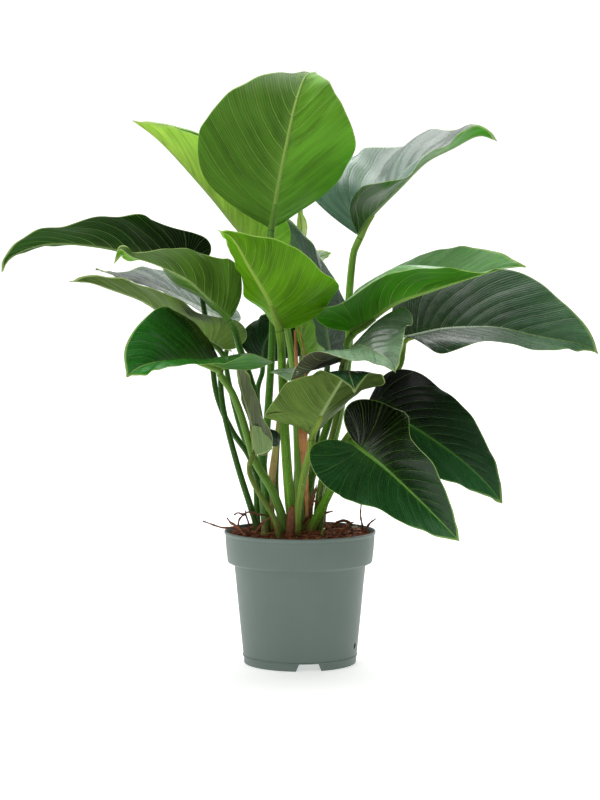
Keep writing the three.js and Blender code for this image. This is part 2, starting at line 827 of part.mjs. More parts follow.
// Closed blade of even thickness; its first and last rows are single points
function bladeGeometry(leaf) {
  const grid = bladeGrid(leaf);
  const { columns } = leaf.detail;
  const points = [];
  const index = grid.map((line, row) => {
    const single = row === 0 || row === grid.length - 1;
    const chosen = single ? [line[columns]] : line;
    const ids = chosen.map(({ point, normal }) => {
      points.push(point.clone().addScaledVector(normal, BLADE_THICKNESS / 2));
      points.push(point.clone().addScaledVector(normal, -BLADE_THICKNESS / 2));
      return points.length - 2;
    });
    return single ? line.map(() => ids[0]) : ids;
  });
  const triangles = [];
  const add = (a, b, c) => {
    if (a !== b && b !== c && a !== c) triangles.push([a, b, c]);
  };
  for (let row = 0; row + 1 < index.length; row += 1) {
    for (let k = 0; k < 2 * columns; k += 1) {
      const [a, b] = [index[row][k], index[row][k + 1]];
      const [d, c] = [index[row + 1][k], index[row + 1][k + 1]];
      add(a, b, c);
      add(a, c, d);
      add(a + 1, c + 1, b + 1);
      add(a + 1, d + 1, c + 1);
    }
    for (const [from, to] of [
      [index[row + 1][0], index[row][0]],
      [index[row][2 * columns], index[row + 1][2 * columns]],
    ]) {
      add(from, from + 1, to + 1);
      add(from, to + 1, to);
    }
  }
  return geometryOf(points, triangles);
}

// Stalk path: up from the soil, then along the underside of the blade's base
function stalkPath(leaf) {
  const rib = ribOf(leaf);
  const [x, y] = leaf.foot;
  const topRadius = leaf.stalkRadius[1];
  const droop = Math.min(0, leaf.fold[0][0], leaf.fold[1][0]);
  const drop = (topRadius + BLADE_THICKNESS / 2 + GAP) / Math.cos(radians(droop));
  const under = (distance, extra) => {
    const { centre, up } = frameAt(rib, distance);
    return centre.addScaledVector(up, -drop - extra).toArray();
  };
  return [
    [x, y, SOIL_EDGE_LEVEL - SOCKET_DEPTH],
    [x, y, SOIL_EDGE_LEVEL + SOIL_CROWN + STALK_RISE],
    ...leaf.stalk,
    under(-leaf.approach[0], leaf.approach[1]),
    under(RUN_UNDER_BLADE[0], 0),
    under(RUN_UNDER_BLADE[1], 0),
  ];
}

function stalkGeometry(leaf, options = {}) {
  return tube(stalkPath(leaf), leaf.stalkRadius, { sides: STALK_SIDES, step: TUBE_STEP, ...options });
}

// Radius of the pot's outer face at a height on the tapered body
function bodyRadius(level) {
  const top = POT_HEIGHT - COLLAR_DEPTH;
  return THREE.MathUtils.mapLinear(level, FLOOR_LEVEL, top, BASE_RADIUS, WAIST_RADIUS);
}

function latheOf(profile) {
  const points = profile.map(([r, z]) => new THREE.Vector2(r, z));
  return new THREE.LatheGeometry(points, POT_SEGMENTS).rotateX(Math.PI / 2);
}

// Inner face of the pot from the rim down to the floor
function innerProfile() {
  const foot = POT_HEIGHT - COLLAR_DEPTH;
  const floorTop = FLOOR_LEVEL + FLOOR_THICKNESS;
  return [
    [RIM_RADIUS - POT_WALL - RIM_EDGE, POT_HEIGHT - RIM_EDGE],
    [COLLAR_FOOT_RADIUS - POT_WALL, foot + 2 * COLLAR_SLOPE],
    [COLLAR_FOOT_RADIUS - POT_WALL - COLLAR_EDGE, foot + COLLAR_SLOPE],
    [WAIST_RADIUS - POT_WALL, foot - COLLAR_SLOPE / 2],
    [bodyRadius(floorTop) - POT_WALL, floorTop],
  ];
}

// Half section of the pot: floor, foot skirt, ridge, tapered body, collar, rim and inner face
function potProfile() {
  const foot = POT_HEIGHT - COLLAR_DEPTH;
  return [
    [0, FLOOR_LEVEL],
    [BASE_RADIUS - POT_WALL - RIDGE_EDGE, FLOOR_LEVEL],
    [BASE_RADIUS - POT_WALL - FOOT_INSET, 0],
    [BASE_RADIUS - FOOT_INSET, 0],
    [BASE_RADIUS - RIDGE_EDGE, FLOOR_LEVEL - RIDGE_EDGE],
    [BASE_RADIUS + RIDGE_HEIGHT - RIDGE_EDGE, FLOOR_LEVEL],
    [BASE_RADIUS, FLOOR_LEVEL + RIDGE_HEIGHT],
    [WAIST_RADIUS, foot - WAIST_BAND],
    [WAIST_RADIUS + RIM_STEP, foot - RIM_STEP],
    [COLLAR_FOOT_RADIUS - COLLAR_EDGE, foot],
    [COLLAR_FOOT_RADIUS - COLLAR_EDGE / 4, foot + COLLAR_EDGE / 2],
    [COLLAR_FOOT_RADIUS, foot + 2 * COLLAR_EDGE],
    [RIM_RADIUS - RIM_STEP, POT_HEIGHT - RIM_BAND - RIM_STEP],
    [RIM_RADIUS, POT_HEIGHT - RIM_BAND],
    [RIM_RADIUS, POT_HEIGHT - RIM_EDGE],
    [RIM_RADIUS - RIM_EDGE, POT_HEIGHT],
    [RIM_RADIUS - POT_WALL, POT_HEIGHT],
    ...innerProfile(),
    [0, FLOOR_LEVEL + FLOOR_THICKNESS],
  ];
}

function turned(geometry, degrees) {
  return geometry.rotateZ(radians(degrees));
}

// Notch through the foot: wider at the floor than above
function notchCutter(degrees) {
  const shape = new THREE.Shape([
    new THREE.Vector2(-NOTCH_WIDTH_BELOW / 2, -1),
    new THREE.Vector2(NOTCH_WIDTH_BELOW / 2, -1),
    new THREE.Vector2(NOTCH_WIDTH_ABOVE / 2, NOTCH_HEIGHT),
    new THREE.Vector2(-NOTCH_WIDTH_ABOVE / 2, NOTCH_HEIGHT),
  ]);
  const block = new THREE.ExtrudeGeometry(shape, { depth: BASE_RADIUS / 2, bevelEnabled: false });
  block.rotateX(Math.PI / 2).rotateZ(Math.PI / 2).translate((BASE_RADIUS * 3) / 4, 0, 0);
  return turned(block, degrees);
}

function pinOf(radius) {
  return new THREE.CylinderGeometry(radius, radius, CUTTER_LENGTH, HOLE_SEGMENTS);
}

function sideHoleCutter(degrees) {
  const pin = pinOf(SIDE_HOLE_RADIUS).rotateZ(Math.PI / 2);
  pin.translate(bodyRadius(SIDE_HOLE_LEVEL), 0, SIDE_HOLE_LEVEL);
  return turned(pin, degrees);
}

function floorHoleCutter(number) {
  const pin = pinOf(FLOOR_HOLE_RADIUS).rotateX(Math.PI / 2);
  pin.translate(FLOOR_HOLE_CIRCLE, 0, FLOOR_LEVEL);
  return turned(pin, (360 * number) / FLOOR_HOLE_COUNT);
}

function potGeometry() {
  const notches = Array.from({ length: NOTCH_COUNT }, (_, i) =>
    notchCutter(NOTCH_FIRST_ANGLE + (360 * i) / NOTCH_COUNT),
  );
  const sideHoles = SIDE_HOLE_ANGLES.map(sideHoleCutter);
  const floorHoles = Array.from({ length: FLOOR_HOLE_COUNT }, (_, i) => floorHoleCutter(i));
  return cutAll(latheOf(potProfile()), [...notches, ...sideHoles, ...floorHoles]);
}

function soilLevel(x, y) {
  const reach = Math.hypot(x, y) / RIM_RADIUS;
  const lumps = Math.sin(x * LUMP_WAVES[0] + 1) * Math.cos(y * LUMP_WAVES[1]) * SOIL_ROUGHNESS;
  return SOIL_EDGE_LEVEL + SOIL_CROWN * (1 - reach * reach) + lumps;
}

// Root ball: fills the pot up to a low crown, with a socket round everything that stands in it
function soilGeometry(sockets) {
  const bottom = FLOOR_LEVEL + FLOOR_THICKNESS + GAP;
  const wall = innerProfile()
    .slice(1)
    .reverse()
    .map(([r, z]) => [r - SOCKET_GAP, Math.max(z, bottom)]);
  const edge = RIM_RADIUS - POT_WALL - SOIL_EDGE_GAP;
  const profile = [[0, bottom], ...wall, [edge, SOIL_EDGE_LEVEL]];
  for (let ring = SOIL_RINGS - 1; ring >= 0; ring -= 1) {
    profile.push([(edge * ring) / SOIL_RINGS, SOIL_EDGE_LEVEL]);
  }
  const body = latheOf(profile);
  const position = body.attributes.position;
  for (let i = 0; i < position.count; i += 1) {
    if (position.getZ(i) > SOIL_EDGE_LEVEL - 1) {
      position.setZ(i, soilLevel(position.getX(i), position.getY(i)));
    }
  }
  return cutAll(body, sockets);
}

function makePlant() {
  const plant = new THREE.Group();
  const socket = { extra: SOCKET_GAP, below: SOIL_EDGE_LEVEL + SOIL_CROWN + SOCKET_TOP };
  const rootSocket = { extra: SOCKET_GAP, below: SOIL_EDGE_LEVEL + ROOT_SOCKET_TOP };
  const sockets = [];
  for (const [name, shape] of Object.entries(LEAVES)) {
    const leaf = { detail: FULL, approach: APPROACH, ...shape };
    plant.add(meshFrom(`blade_${name}`, bladeGeometry(leaf), leaf.tone));
    plant.add(meshFrom(`petiole_${name}`, stalkGeometry(leaf), "stalk"));
    sockets.push(stalkGeometry(leaf, socket));
  }
  for (const [name, { path, radius, tone }] of Object.entries(STUBS)) {
    const shape = { sides: STUB_SIDES, step: TUBE_STEP };
    plant.add(meshFrom(name, tube(path, radius, shape), tone));
    sockets.push(tube(path, radius, { ...shape, ...socket }));
  }
  for (const [name, { path, radius }] of Object.entries(ROOTS)) {
    const shape = { sides: ROOT_SIDES, step: ROOT_STEP };
    plant.add(meshFrom(name, tube(path, radius, shape), "root"));
    sockets.push(tube(path, radius, { ...shape, ...rootSocket }));
  }
  plant.add(meshFrom("soil", soilGeometry(sockets), "soil"));
  plant.add(meshFrom("pot", potGeometry(), "pot"));
  return plant;
}

export default makePlant();
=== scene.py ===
"""Green beauty philodendron in a nursery pot: leaves, stalks, bark soil and pot."""

import math
import random
from dataclasses import dataclass

import bmesh
import bpy
import numpy as np
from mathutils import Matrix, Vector


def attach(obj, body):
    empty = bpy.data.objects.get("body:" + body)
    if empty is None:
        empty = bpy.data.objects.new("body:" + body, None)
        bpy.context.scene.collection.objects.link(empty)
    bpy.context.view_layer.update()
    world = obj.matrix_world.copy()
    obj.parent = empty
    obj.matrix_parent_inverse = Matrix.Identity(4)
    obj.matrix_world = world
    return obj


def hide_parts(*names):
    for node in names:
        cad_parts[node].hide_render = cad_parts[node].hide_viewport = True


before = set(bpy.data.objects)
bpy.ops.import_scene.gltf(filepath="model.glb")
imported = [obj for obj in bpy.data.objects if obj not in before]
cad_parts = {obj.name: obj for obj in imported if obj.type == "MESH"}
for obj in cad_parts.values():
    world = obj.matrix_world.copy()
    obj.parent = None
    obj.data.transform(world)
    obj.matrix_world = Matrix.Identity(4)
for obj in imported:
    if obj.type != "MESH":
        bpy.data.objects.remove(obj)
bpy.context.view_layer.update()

BODY = "root"

# Camera of the photograph: 3 m in front of the pot, pitched down a little
CAMERA_PLACE = (0.0, -3.0, 0.558)
CAMERA_PITCH = 3.69
CAMERA_LENS = 97.97

# Blades, in metres
RIB_SAMPLES = 48
SAMPLES_PER_SPAN = 20
VEIN_FAN = 0.06
VEIN_SWEEP = 2.4
ROW_SPREAD = 1.5
LOBE_NECK = 0.2
LOBE_BACK = 1.5
LOBE_CORNER = 1.25
TIP_WIDTH = 0.16
TIP_START = 0.9
FULL_ROWS = (4, 9)
PLAIN_ROWS = (3, 6)
FINE_ROWS = (26, 84)
VEINS = (5, 12)
NEAR_RIB = (0.0, 0.4, 0.75, 1.0, 1.35, 2.0)
SPREAD_COLUMNS = 14
RIB_SHARE = 0.66
RIB_TAPER = 0.85
RIB_TIP = 0.0005
RIB_BACK = 0.35
MARGIN_BAND = 0.0011
MARGIN_SLOPE = 0.006
BLADE_HALF = 0.00045
MARGIN_HALF = 0.00022
PILLOW = 0.0010
PILLOW_START = 0.012
RIPPLE = 0.0011
RIPPLES = ((5.3, 1, 1.0), (8.7, 2, 0.6))
LOBE_STEPS = 8
LOBE_VEINS = 2.5
LOBE_INSET = 9.0

# Stalks, in metres
SOIL_LEVEL = 0.177
SOIL_CROWN = 0.009
STALK_SIDES = 16
STALK_STEP = 0.008
SOCKET_DEPTH = 0.024
STALK_RISE = 0.004
BLADE_JOINT = 0.038
CAD_BLADE = 0.0012
GAP = 0.0003


def metres(values):
    """The same numbers, single or nested, from millimetres."""
    if isinstance(values, (int, float)):
        return values / 1000
    return tuple(metres(v) for v in values)


@dataclass
class Leaf:
    """Driving dimensions of one leaf, given in mm and degrees, kept in metres and degrees."""

    rib: tuple
    face: tuple
    twist: float
    width: tuple
    fold: tuple
    curl: tuple
    wave: tuple
    lobe: tuple
    widest: float
    shoulder: float
    foot: tuple
    stalk: tuple
    thick: tuple
    approach: tuple = (14, 9)
    plain: bool = False

    def __post_init__(self):
        for name in ("rib", "width", "foot", "stalk", "thick", "approach"):
            setattr(self, name, metres(getattr(self, name)))
        self.wave = [(depth / 1000, count, turn) for depth, count, turn in self.wave]


# Each leaf: points of its rib from base to tip; the direction its upper side faces half way
# along; its twist; then for its left and right half the width, the fold up from flat at four
# stations, the curl at base and tip, the ripple of the margin (depth, count, phase) and the lobe
# behind the base as a share of the length. The stalk runs from its foot through its points.
LEAVES = {
    # large upright leaf at the top, its underside to the front and its end rolled back
    "crown": Leaf(
        rib=((-40, 0, 600), (-28, -18, 666), (-17, -26, 720), (-6, -16, 770), (7, 14, 808),
        (21, 58, 819)), face=(-0.08, 1, -0.05), twist=-13, width=(104, 126),
        fold=((42, 26, 6, -9), (16, 19, 14, 19)), curl=((3, 7), (10, -1)),
        wave=((2.5, 2, 0.86), (4.5, 2.1, 0.29)), lobe=(-0.03, -0.05), widest=0.39, shoulder=0.42,
        foot=(-48, 22), stalk=((-53, 22, 251), (-46, 20, 328), (-42, 16, 384), (-38, 8, 461),
        (-38, -4, 544)), thick=(6, 4.5),
    ),
    # bright leaf in the middle, its underside to the front
    "centre": Leaf(
        rib=((-26, -84, 467), (-43, -104, 506), (-67, -122, 548), (-88, -134, 585),
        (-109, -140, 598)), face=(0.51, 0.66, 0.55), twist=-30, width=(96, 58),
        fold=((36, 14, 29, -11), (51, 30, 17, -15)), curl=((0, -7), (-10, 5)),
        wave=((5, 2, 0.84), (4, 2.2, 0.13)), lobe=(0.08, 0.07), widest=0.26, shoulder=0.44,
        foot=(-9, -37), stalk=((-14, -41, 230), (-20, -47, 313), (-23, -60, 382), (-25, -76, 434)),
        thick=(7.4, 5.2),
    ),
    # yellow-green leaf that rises behind to the left
    "upper_left": Leaf(
        rib=((-49, 70, 563), (-86, 80, 600), (-125, 90, 647), (-180, 98, 708), (-209, 98, 735),
        (-237, 94, 754)), face=(0.74, 0.05, 0.68), twist=-15, width=(76, 79),
        fold=((59, 59, 57, 56), (60, 64, 71, 59)), curl=((3, -1), (-1, 3)),
        wave=((3, 2.3, 0.05), (2, 2.3, 0.39)), lobe=(0.08, 0.08), widest=0.34, shoulder=0.47,
        foot=(1, -14), stalk=((-2, -12, 255), (-6, 2, 364), (-14, 20, 440), (-28, 44, 502)),
        thick=(6, 4.2),
    ),
    # dark leaf that reaches furthest left
    "far_left": Leaf(
        rib=((-150, 58, 552), (-210, 53, 561), (-280, 48, 576), (-350, 43, 580), (-400, 42, 564),
        (-417, 46, 541)), face=(0.01, 0.31, 0.95), twist=49, width=(83, 70),
        fold=((54, 40, 8, -9), (18, 14, 24, 33)), curl=((-23, -23), (-11, 6)),
        wave=((6.5, 5.5, 0.41), (3, 3, 0.88)), lobe=(0.09, 0.08), widest=0.25, shoulder=0.41,
        foot=(-46, 2), stalk=((-53, 8, 232), (-70, 14, 284), (-95, 20, 321), (-116, 30, 370),
        (-125, 44, 432), (-136, 47, 502)), thick=(4.5, 3.4),
    ),
    # cupped leaf at mid height on the left, with a turned tip
    "mid_left": Leaf(
        rib=((-94, -62, 478), (-127, -68, 508), (-151, -74, 530), (-191, -84, 550),
        (-224, -88, 561), (-241, -86, 572), (-249, -84, 552)), face=(-0.03, 0.98, 0.2), twist=51,
        width=(73, 69), fold=((71, 59, 70, 50), (56, 57, 96, 40)), curl=((0, 13), (5, 4)),
        wave=((10, 2.7, 0.08), (7, 2.5, 0.39)), lobe=(0, -0.03), widest=0.27, shoulder=0.16,
        foot=(-46, -22), stalk=((-48, -26, 243), (-52, -30, 291), (-54, -34, 329), (-60, -38, 367),
        (-71, -46, 407), (-83, -58, 443)), thick=(6, 4.2),
    ),
    # olive leaf on the left, folded along its rib
    "olive_left": Leaf(
        rib=((-108, 4, 436), (-151, -8, 462), (-185, -17, 482), (-215, -24, 502), (-258, -31, 518),
        (-286, -35, 527), (-314, -36, 528)), face=(0.39, 0.29, 0.87), twist=13, width=(70, 44),
        fold=((40, 12, 12, 26), (21, 21, 17, 28)), curl=((-10, 2), (-2, -3)),
        wave=((4.5, 3.4, 0.74), (4, 3.2, 0.05)), lobe=(0.09, 0.09), widest=0.18, shoulder=0.41,
        foot=(-60, -14), stalk=((-69, -16, 221), (-84, -18, 269), (-99, -20, 325),
        (-107, -18, 366), (-109, -8, 404)), thick=(4.6, 3.4),
    ),
    # grey leaf behind the olive one
    "grey_left": Leaf(
        rib=((-104, 115, 469), (-135, 112, 485), (-187, 106, 512), (-220, 102, 526),
        (-252, 98, 533), (-290, 92, 545)), face=(0.41, -0.2, 0.89), twist=6, width=(60, 64),
        fold=((8, 13, 6, 11), (13, 13, 14, -9)), curl=((0, -1), (-1, -1)),
        wave=((2, 2, 1), (3, 1.9, 0.14)), lobe=(0.12, 0.1), widest=0.28, shoulder=0.43,
        foot=(-60, 30), stalk=((-61, 36, 236), (-65, 43, 270), (-75, 50, 298), (-85, 60, 325),
        (-95, 76, 360), (-103, 94, 394), (-106, 108, 422)), thick=(4.5, 3.2),
    ),
    # low dark leaf on the left
    "low_left": Leaf(
        rib=((-105, -86, 413), (-141, -108, 423), (-180, -130, 423), (-208, -143, 418),
        (-228, -152, 405)), face=(0.27, -0.41, 0.87), twist=-27, width=(78, 85),
        fold=((51, 35, 41, 21), (29, 32, 41, 20)), curl=((-30, -13), (-14, -6)),
        wave=((4, 3.4, 0.95), (4, 3.2, 0.94)), lobe=(0.38, 0), widest=0.26, shoulder=0.71,
        foot=(-20, -46), stalk=((-37, -47, 242), (-60, -50, 282), (-69, -54, 310), (-80, -60, 348),
        (-92, -72, 380)), thick=(6.5, 4.2), approach=(3, 6),
    ),
    # small dark leaf deep in the left of the crown
    "deep_left": Leaf(
        rib=((-54, 67, 410), (-50, 62, 438), (-38, 60, 465), (-24, 63, 495)),
        face=(-0.29, -0.96, -0.05), twist=-12, width=(38, 59),
        fold=((-10, -8, -24, -15), (-12, -6, 1, -6)), curl=((0, -5), (1, 2)),
        wave=((3, 1.8, 0.03), (3, 2.2, 0.09)), lobe=(-0.12, -0.14), widest=0.34, shoulder=0.6,
        foot=(-50, 42), stalk=((-54, 47, 249), (-57, 56, 319), (-60, 64, 372)), thick=(5, 3.2),
        plain=True,
    ),
    # small leaf deep in the middle
    "deep_middle": Leaf(
        rib=((5, 8, 421), (4, 2, 448), (4, 4, 478), (8, 14, 508)), face=(-0.76, -0.65, -0.06),
        twist=-6, width=(31, 33), fold=((-35, -23, -13, -18), (-42, -3, 3, -14)),
        curl=((-2, 3), (0, 7)), wave=((2, 2, 0), (4, 2.2, 0.28)), lobe=(-0.03, -0.07), widest=0.21,
        shoulder=0.38, foot=(-8, 20), stalk=((0, 16, 252), (4, 12, 350), (5, 10, 394)),
        thick=(4.5, 3), plain=True,
    ),
    # tall dark leaf behind the centre
    "tall_back": Leaf(
        rib=((42, 96, 427), (32, 98, 486), (8, 106, 555), (-12, 116, 595), (-25, 126, 625)),
        face=(0.21, -0.96, 0.17), twist=-16, width=(28, 48),
        fold=((-18, -18, -18, -18), (-25, -24, -34, -10)), curl=((0, 0), (-6, -5)),
        wave=((2, 2, 0), (2.5, 1.8, 0.91)), lobe=(0.06, 0.1), widest=0.29, shoulder=0.48,
        foot=(12, 24), stalk=((16, 40, 250), (28, 68, 346), (38, 88, 399)), thick=(5.5, 4),
    ),
    # silvery leaf at the upper right
    "upper_right": Leaf(
        rib=((81, 60, 592), (100, 58, 620), (140, 54, 660), (175, 50, 694), (212, 46, 713),
        (248, 42, 730), (274, 38, 722)), face=(-0.63, -0.25, 0.73), twist=-9, width=(125, 104),
        fold=((75, 19, 14, 22), (59, 29, 20, 58)), curl=((3, -27), (-7, -14)),
        wave=((11.5, 4.1, 0.76), (10, 3.3, 0.34)), lobe=(0, -0.1), widest=0.28, shoulder=0.49,
        foot=(28, 26), stalk=((36, 34, 264), (53, 40, 334), (65, 50, 403), (69, 56, 445),
        (69, 58, 503), (74, 60, 560)), thick=(8, 4.4), approach=(12, 1),
    ),
    # bright cupped leaf on the right
    "bright_right": Leaf(
        rib=((71, -10, 461), (91, -16, 471), (131, -24, 499), (178, -30, 516), (233, -34, 534),
        (275, -36, 546), (307, -38, 549)), face=(-0.37, -0.1, 0.92), twist=46, width=(82, 118),
        fold=((50, 37, 34, 40), (41, 45, 21, 25)), curl=((11, -19), (-59, 17)),
        wave=((4, 1.9, 0.14), (12, 2.4, 0.08)), lobe=(0.12, 0.14), widest=0.4, shoulder=0.51,
        foot=(3, 5), stalk=((12, 4, 239), (25, 5, 288), (40, 7, 336), (56, 3, 392), (66, -4, 434)),
        thick=(6, 4.6),
    ),
    # wide dark leaf on the right
    "dark_right": Leaf(
        rib=((147, 52, 449), (197, 50, 460), (238, 48, 463), (279, 46, 462), (335, 44, 450),
        (392, 42, 440), (417, 40, 427)), face=(0.01, -0.61, 0.79), twist=7, width=(110, 85),
        fold=((16, 12, 25, 44), (31, 28, 24, 12)), curl=((-4, 0), (-28, 17)),
        wave=((2.5, 2, 0.38), (6.5, 3.1, 0.97)), lobe=(0.05, -0.05), widest=0.22, shoulder=0.65,
        foot=(24, 4), stalk=((30, 8, 239), (58, 14, 301), (102, 30, 355), (138, 48, 405),
        (144, 56, 424)), thick=(5, 3.6), approach=(3, 5),
    ),
    # glossy leaf that arches to the front
    "mid_right": Leaf(
        rib=((56, -74, 422), (66, -96, 435), (79, -120, 444), (96, -146, 438), (116, -164, 427),
        (125, -176, 411)), face=(-0.4, -0.21, 0.89), twist=43, width=(94, 121),
        fold=((37, 30, 0, 46), (-1, 2, 38, 51)), curl=((-36, -3), (2, -8)),
        wave=((7, 1.5, 0.15), (7, 2.2, 0.79)), lobe=(0.08, 0.1), widest=0.23, shoulder=0.51,
        foot=(22, -16), stalk=((30, -17, 255), (50, 0, 337), (60, -6, 371), (66, -42, 399)),
        thick=(5, 3.6),
    ),
    # low olive leaf with its end folded to the front
    "low_centre": Leaf(
        rib=((13, -80, 321), (31, -98, 356), (49, -116, 388), (62, -140, 411), (65, -166, 407),
        (72, -180, 386)), face=(-0.28, 0.59, 0.76), twist=-16, width=(88, 84),
        fold=((25, 23, -9, 7), (13, 7, -1, 30)), curl=((14, -17), (-3, -4)),
        wave=((2, 1.9, 0), (5, 2.1, 0.17)), lobe=(0, -0.16), widest=0.12, shoulder=0.54,
        foot=(-5, -53), stalk=((-2, -58, 225), (4, -64, 260), (11, -72, 291)), thick=(6, 4.6),
    ),
    # young leaf, still rolled
    "rolled": Leaf(
        rib=((-60, -68, 298), (-65, -66, 335), (-75, -62, 369), (-83, -56, 403), (-91, -50, 433)),
        face=(0.66, 0.75, 0.06), twist=6, width=(36, 6), fold=((14, -16, -11, 15), (7, 9, 5, 3)),
        curl=((-4, -4), (2, 0)), wave=((0.5, 1, 0.5), (0.5, 1, 0.99)), lobe=(0.05, 0.02),
        widest=0.28, shoulder=0.47, foot=(-30, -62), stalk=((-38, -65, 214), (-57, -67, 245),
        (-68, -68, 269), (-68, -68, 284)), thick=(4.2, 3), plain=True,
    ),
    # large dark leaf at the front right
    "front_right": Leaf(
        rib=((76, -112, 310), (114, -128, 281), (145, -140, 253), (180, -146, 219),
        (211, -146, 187)), face=(-0.11, -0.97, 0.24), twist=11, width=(75, 81),
        fold=((-2, 47, 34, 24), (20, 35, 41, 21)), curl=((-2, 7), (1, 11)),
        wave=((3, 3.8, 0.67), (5.5, 3.4, 0.47)), lobe=(0.26, 0.24), widest=0.18, shoulder=0.34,
        foot=(16, -38), stalk=((27, -44, 214), (43, -62, 249), (59, -88, 281)), thick=(6.5, 4.4),
    ),
    # dark leaf behind the front right one
    "behind_front": Leaf(
        rib=((94, -8, 361), (116, -18, 352), (152, -28, 331), (185, -34, 310), (222, -38, 283),
        (256, -38, 251), (278, -34, 223)), face=(0.19, -0.84, 0.5), twist=-6, width=(78, 70),
        fold=((23, -4, -1, 15), (8, 12, 16, 13)), curl=((0, 0), (2, 2)),
        wave=((4, 2.7, 0.03), (2, 2, 0.01)), lobe=(0.01, 0.1), widest=0.29, shoulder=0.46,
        foot=(27, -27), stalk=((36, -24, 229), (57, -18, 283), (77, -12, 324)), thick=(5, 3.8),
    ),
    # young leaf behind the centre, still narrow
    "back_bud": Leaf(
        rib=((8, 196, 499), (4, 198, 554), (3, 198, 598), (-2, 196, 641)), face=(-0.38, -0.93, 0),
        twist=24, width=(13, 25), fold=((25, 25, 25, 25), (29, 39, 46, 17)), curl=((0, 0), (8, 6)),
        wave=((0, 1, 0.5), (2.5, 2.3, 0.08)), lobe=(0.02, 0.02), widest=0.33, shoulder=0.51,
        foot=(-28, 42), stalk=((-34, 60, 247), (-28, 104, 341), (-12, 160, 427), (0, 186, 467)),
        thick=(4, 3), approach=(14, 6), plain=True,
    ),
    # small leaf behind the centre
    "back_small": Leaf(
        rib=((4, 160, 500), (8, 162, 534), (24, 160, 559), (47, 156, 568)),
        face=(-0.37, -0.92, 0.12), twist=-1, width=(27, 23), fold=((6, 5, 4, 6), (6, 6, 6, 7)),
        curl=((0, 0), (0, 0)), wave=((1, 2, 0), (1, 2, 1)), lobe=(0.02, 0.02), widest=0.28,
        shoulder=0.42, foot=(-12, 42), stalk=((-6, 66, 247), (0, 110, 357), (2, 146, 442)),
        thick=(3.6, 2.6), plain=True,
    ),
}

# Colours of each leaf: upper side, underside, veins, stalk and the stalk's streaks; how much light
# comes through; gloss; then painted light and shade: how much lighter its right half and its tip
# are painted, above and then below
LOOKS = {
    # The grey upper sides of grey_left, tall_back, upper_right and mid_right and the near-white
    # ones of back_bud and back_small are partly painted sheen, the white surroundings' reflection
    # put into the colour
    "crown": ("2c5a1c 5a8b25 a9cc66 4c8a24 a6c85c", 0.2, 0.5, (0, 0, -0.32, -0.13)),
    "centre": ("35701c 5e9508 b4d860 64a01e c4d868", 0.28, 0.5, (0, 0, 0.2, -0.12)),
    "upper_left": ("3d7a20 b2e255 c4e27c 89c451 f3f3b0", 0.3, 0.6, (0, 0, 0, 0.01)),
    "far_left": ("22381e 143506 8fae66 2c5a12 7aa040", 0.1, 0.12, (0, 0, 0, 0.6)),
    "mid_left": ("3c6a28 5a8b1f aecb7c 3a7a18 8cb44c", 0.15, 0.35, (0, 0, 0.54, -0.14)),
    "olive_left": ("4a6840 48631c b2c48a 2c5c12 7aa042", 0.15, 0.35, (0, 0, 0, -0.38)),
    "grey_left": ("465f52 5c7a48 a8c488 3c7018 88ac4c", 0.1, 0.7, (0, -0.06, 0, 0)),
    "low_left": ("0c5b04 467a3a 8fbe58 5f8f2c a6bf5c", 0.12, 0.6, (-0.3, 0.58, 0, 0)),
    "deep_left": ("0a2d07 1e3a1a 4c7040 2f6a18 7ca446", 0.05, 0.3, (0, 0.11, 0, 0)),
    "deep_middle": ("7baf2f 5e8636 98b868 4c8228 9cbc64", 0.2, 0.5, (0, -0.1, 0, 0)),
    "tall_back": ("607368 5f8a4a 86a874 306018 7ca048", 0.1, 0.8, (-0.23, 0.32, 0, 0)),
    "upper_right": ("597565 337304 b6d09a 75b538 e8f386", 0.15, 1, (0.2, -0.59, 0, 0.6)),
    "bright_right": ("80af72 2f7302 a2cc66 4f8420 9cbc58", 0.18, 0.25, (0, 0, 0, -0.31)),
    "dark_right": ("416144 35522a 88b060 6a912d d5d16f", 0.08, 0.8, (0.08, 0.6, 0, 0)),
    "mid_right": ("738e70 373625 a0be80 62822a a4b45c", 0.1, 1.4, (0.47, 0.52, 0, 0.59)),
    "low_centre": ("1b5128 4c6326 a8c27a 70932c b6c756", 0.15, 0.6, (0.34, 0, 0.24, -0.46)),
    "rolled": ("56643f 5c6647 b4c690 5c7420 b4b468", 0.15, 0.6, (0, 0, 0, 0.43)),
    "front_right": ("1b461f 44702a 7fbe48 4c8411 9bbf33", 0.08, 0.7, (0.6, 0.41, 0, 0)),
    "behind_front": ("18451d 2c4a24 62a040 386418 7c9c48", 0.05, 0.5, (0.58, 0.6, 0, 0)),
    "back_bud": ("e5f3b3 78b050 b8dc84 5a7a28 94a858", 0.25, 0.8, (0, 0, 0, 0)),
    "back_small": ("f3f3f3 8a9c58 c0d090 7a8c48 b8c080", 0.3, 0.8, (0, 0, 0, 0)),
}


def unit(vectors):
    return vectors / np.linalg.norm(vectors, axis=-1, keepdims=True)


def catmull(points, per_span):
    """Dense points of a uniform Catmull-Rom curve, with per_span steps between two points."""
    given = [np.asarray(p, float) for p in points]
    ends = [2 * given[0] - given[1], *given, 2 * given[-1] - given[-2]]
    dense = []
    for p0, p1, p2, p3 in zip(ends, ends[1:], ends[2:], ends[3:]):
        t = (np.arange(per_span) / per_span)[:, None]
        m1, m2 = (p2 - p0) / 2, (p3 - p1) / 2
        cubic = (2 * p1 - 2 * p2 + m1 + m2) * t**3 + (-3 * p1 + 3 * p2 - 2 * m1 - m2) * t**2
        dense.append(cubic + m1 * t + p1)
    return np.concatenate([*dense, given[-1][None]])


def resampled(dense, parts):
    """The same line at even distances, and its length."""
    steps = np.linalg.norm(np.diff(dense, axis=0), axis=1)
    travel = np.concatenate([[0], np.cumsum(steps)])
    even = np.linspace(0, travel[-1], parts + 1)
    return np.stack([np.interp(even, travel, dense[:, k]) for k in range(3)], -1), travel[-1]


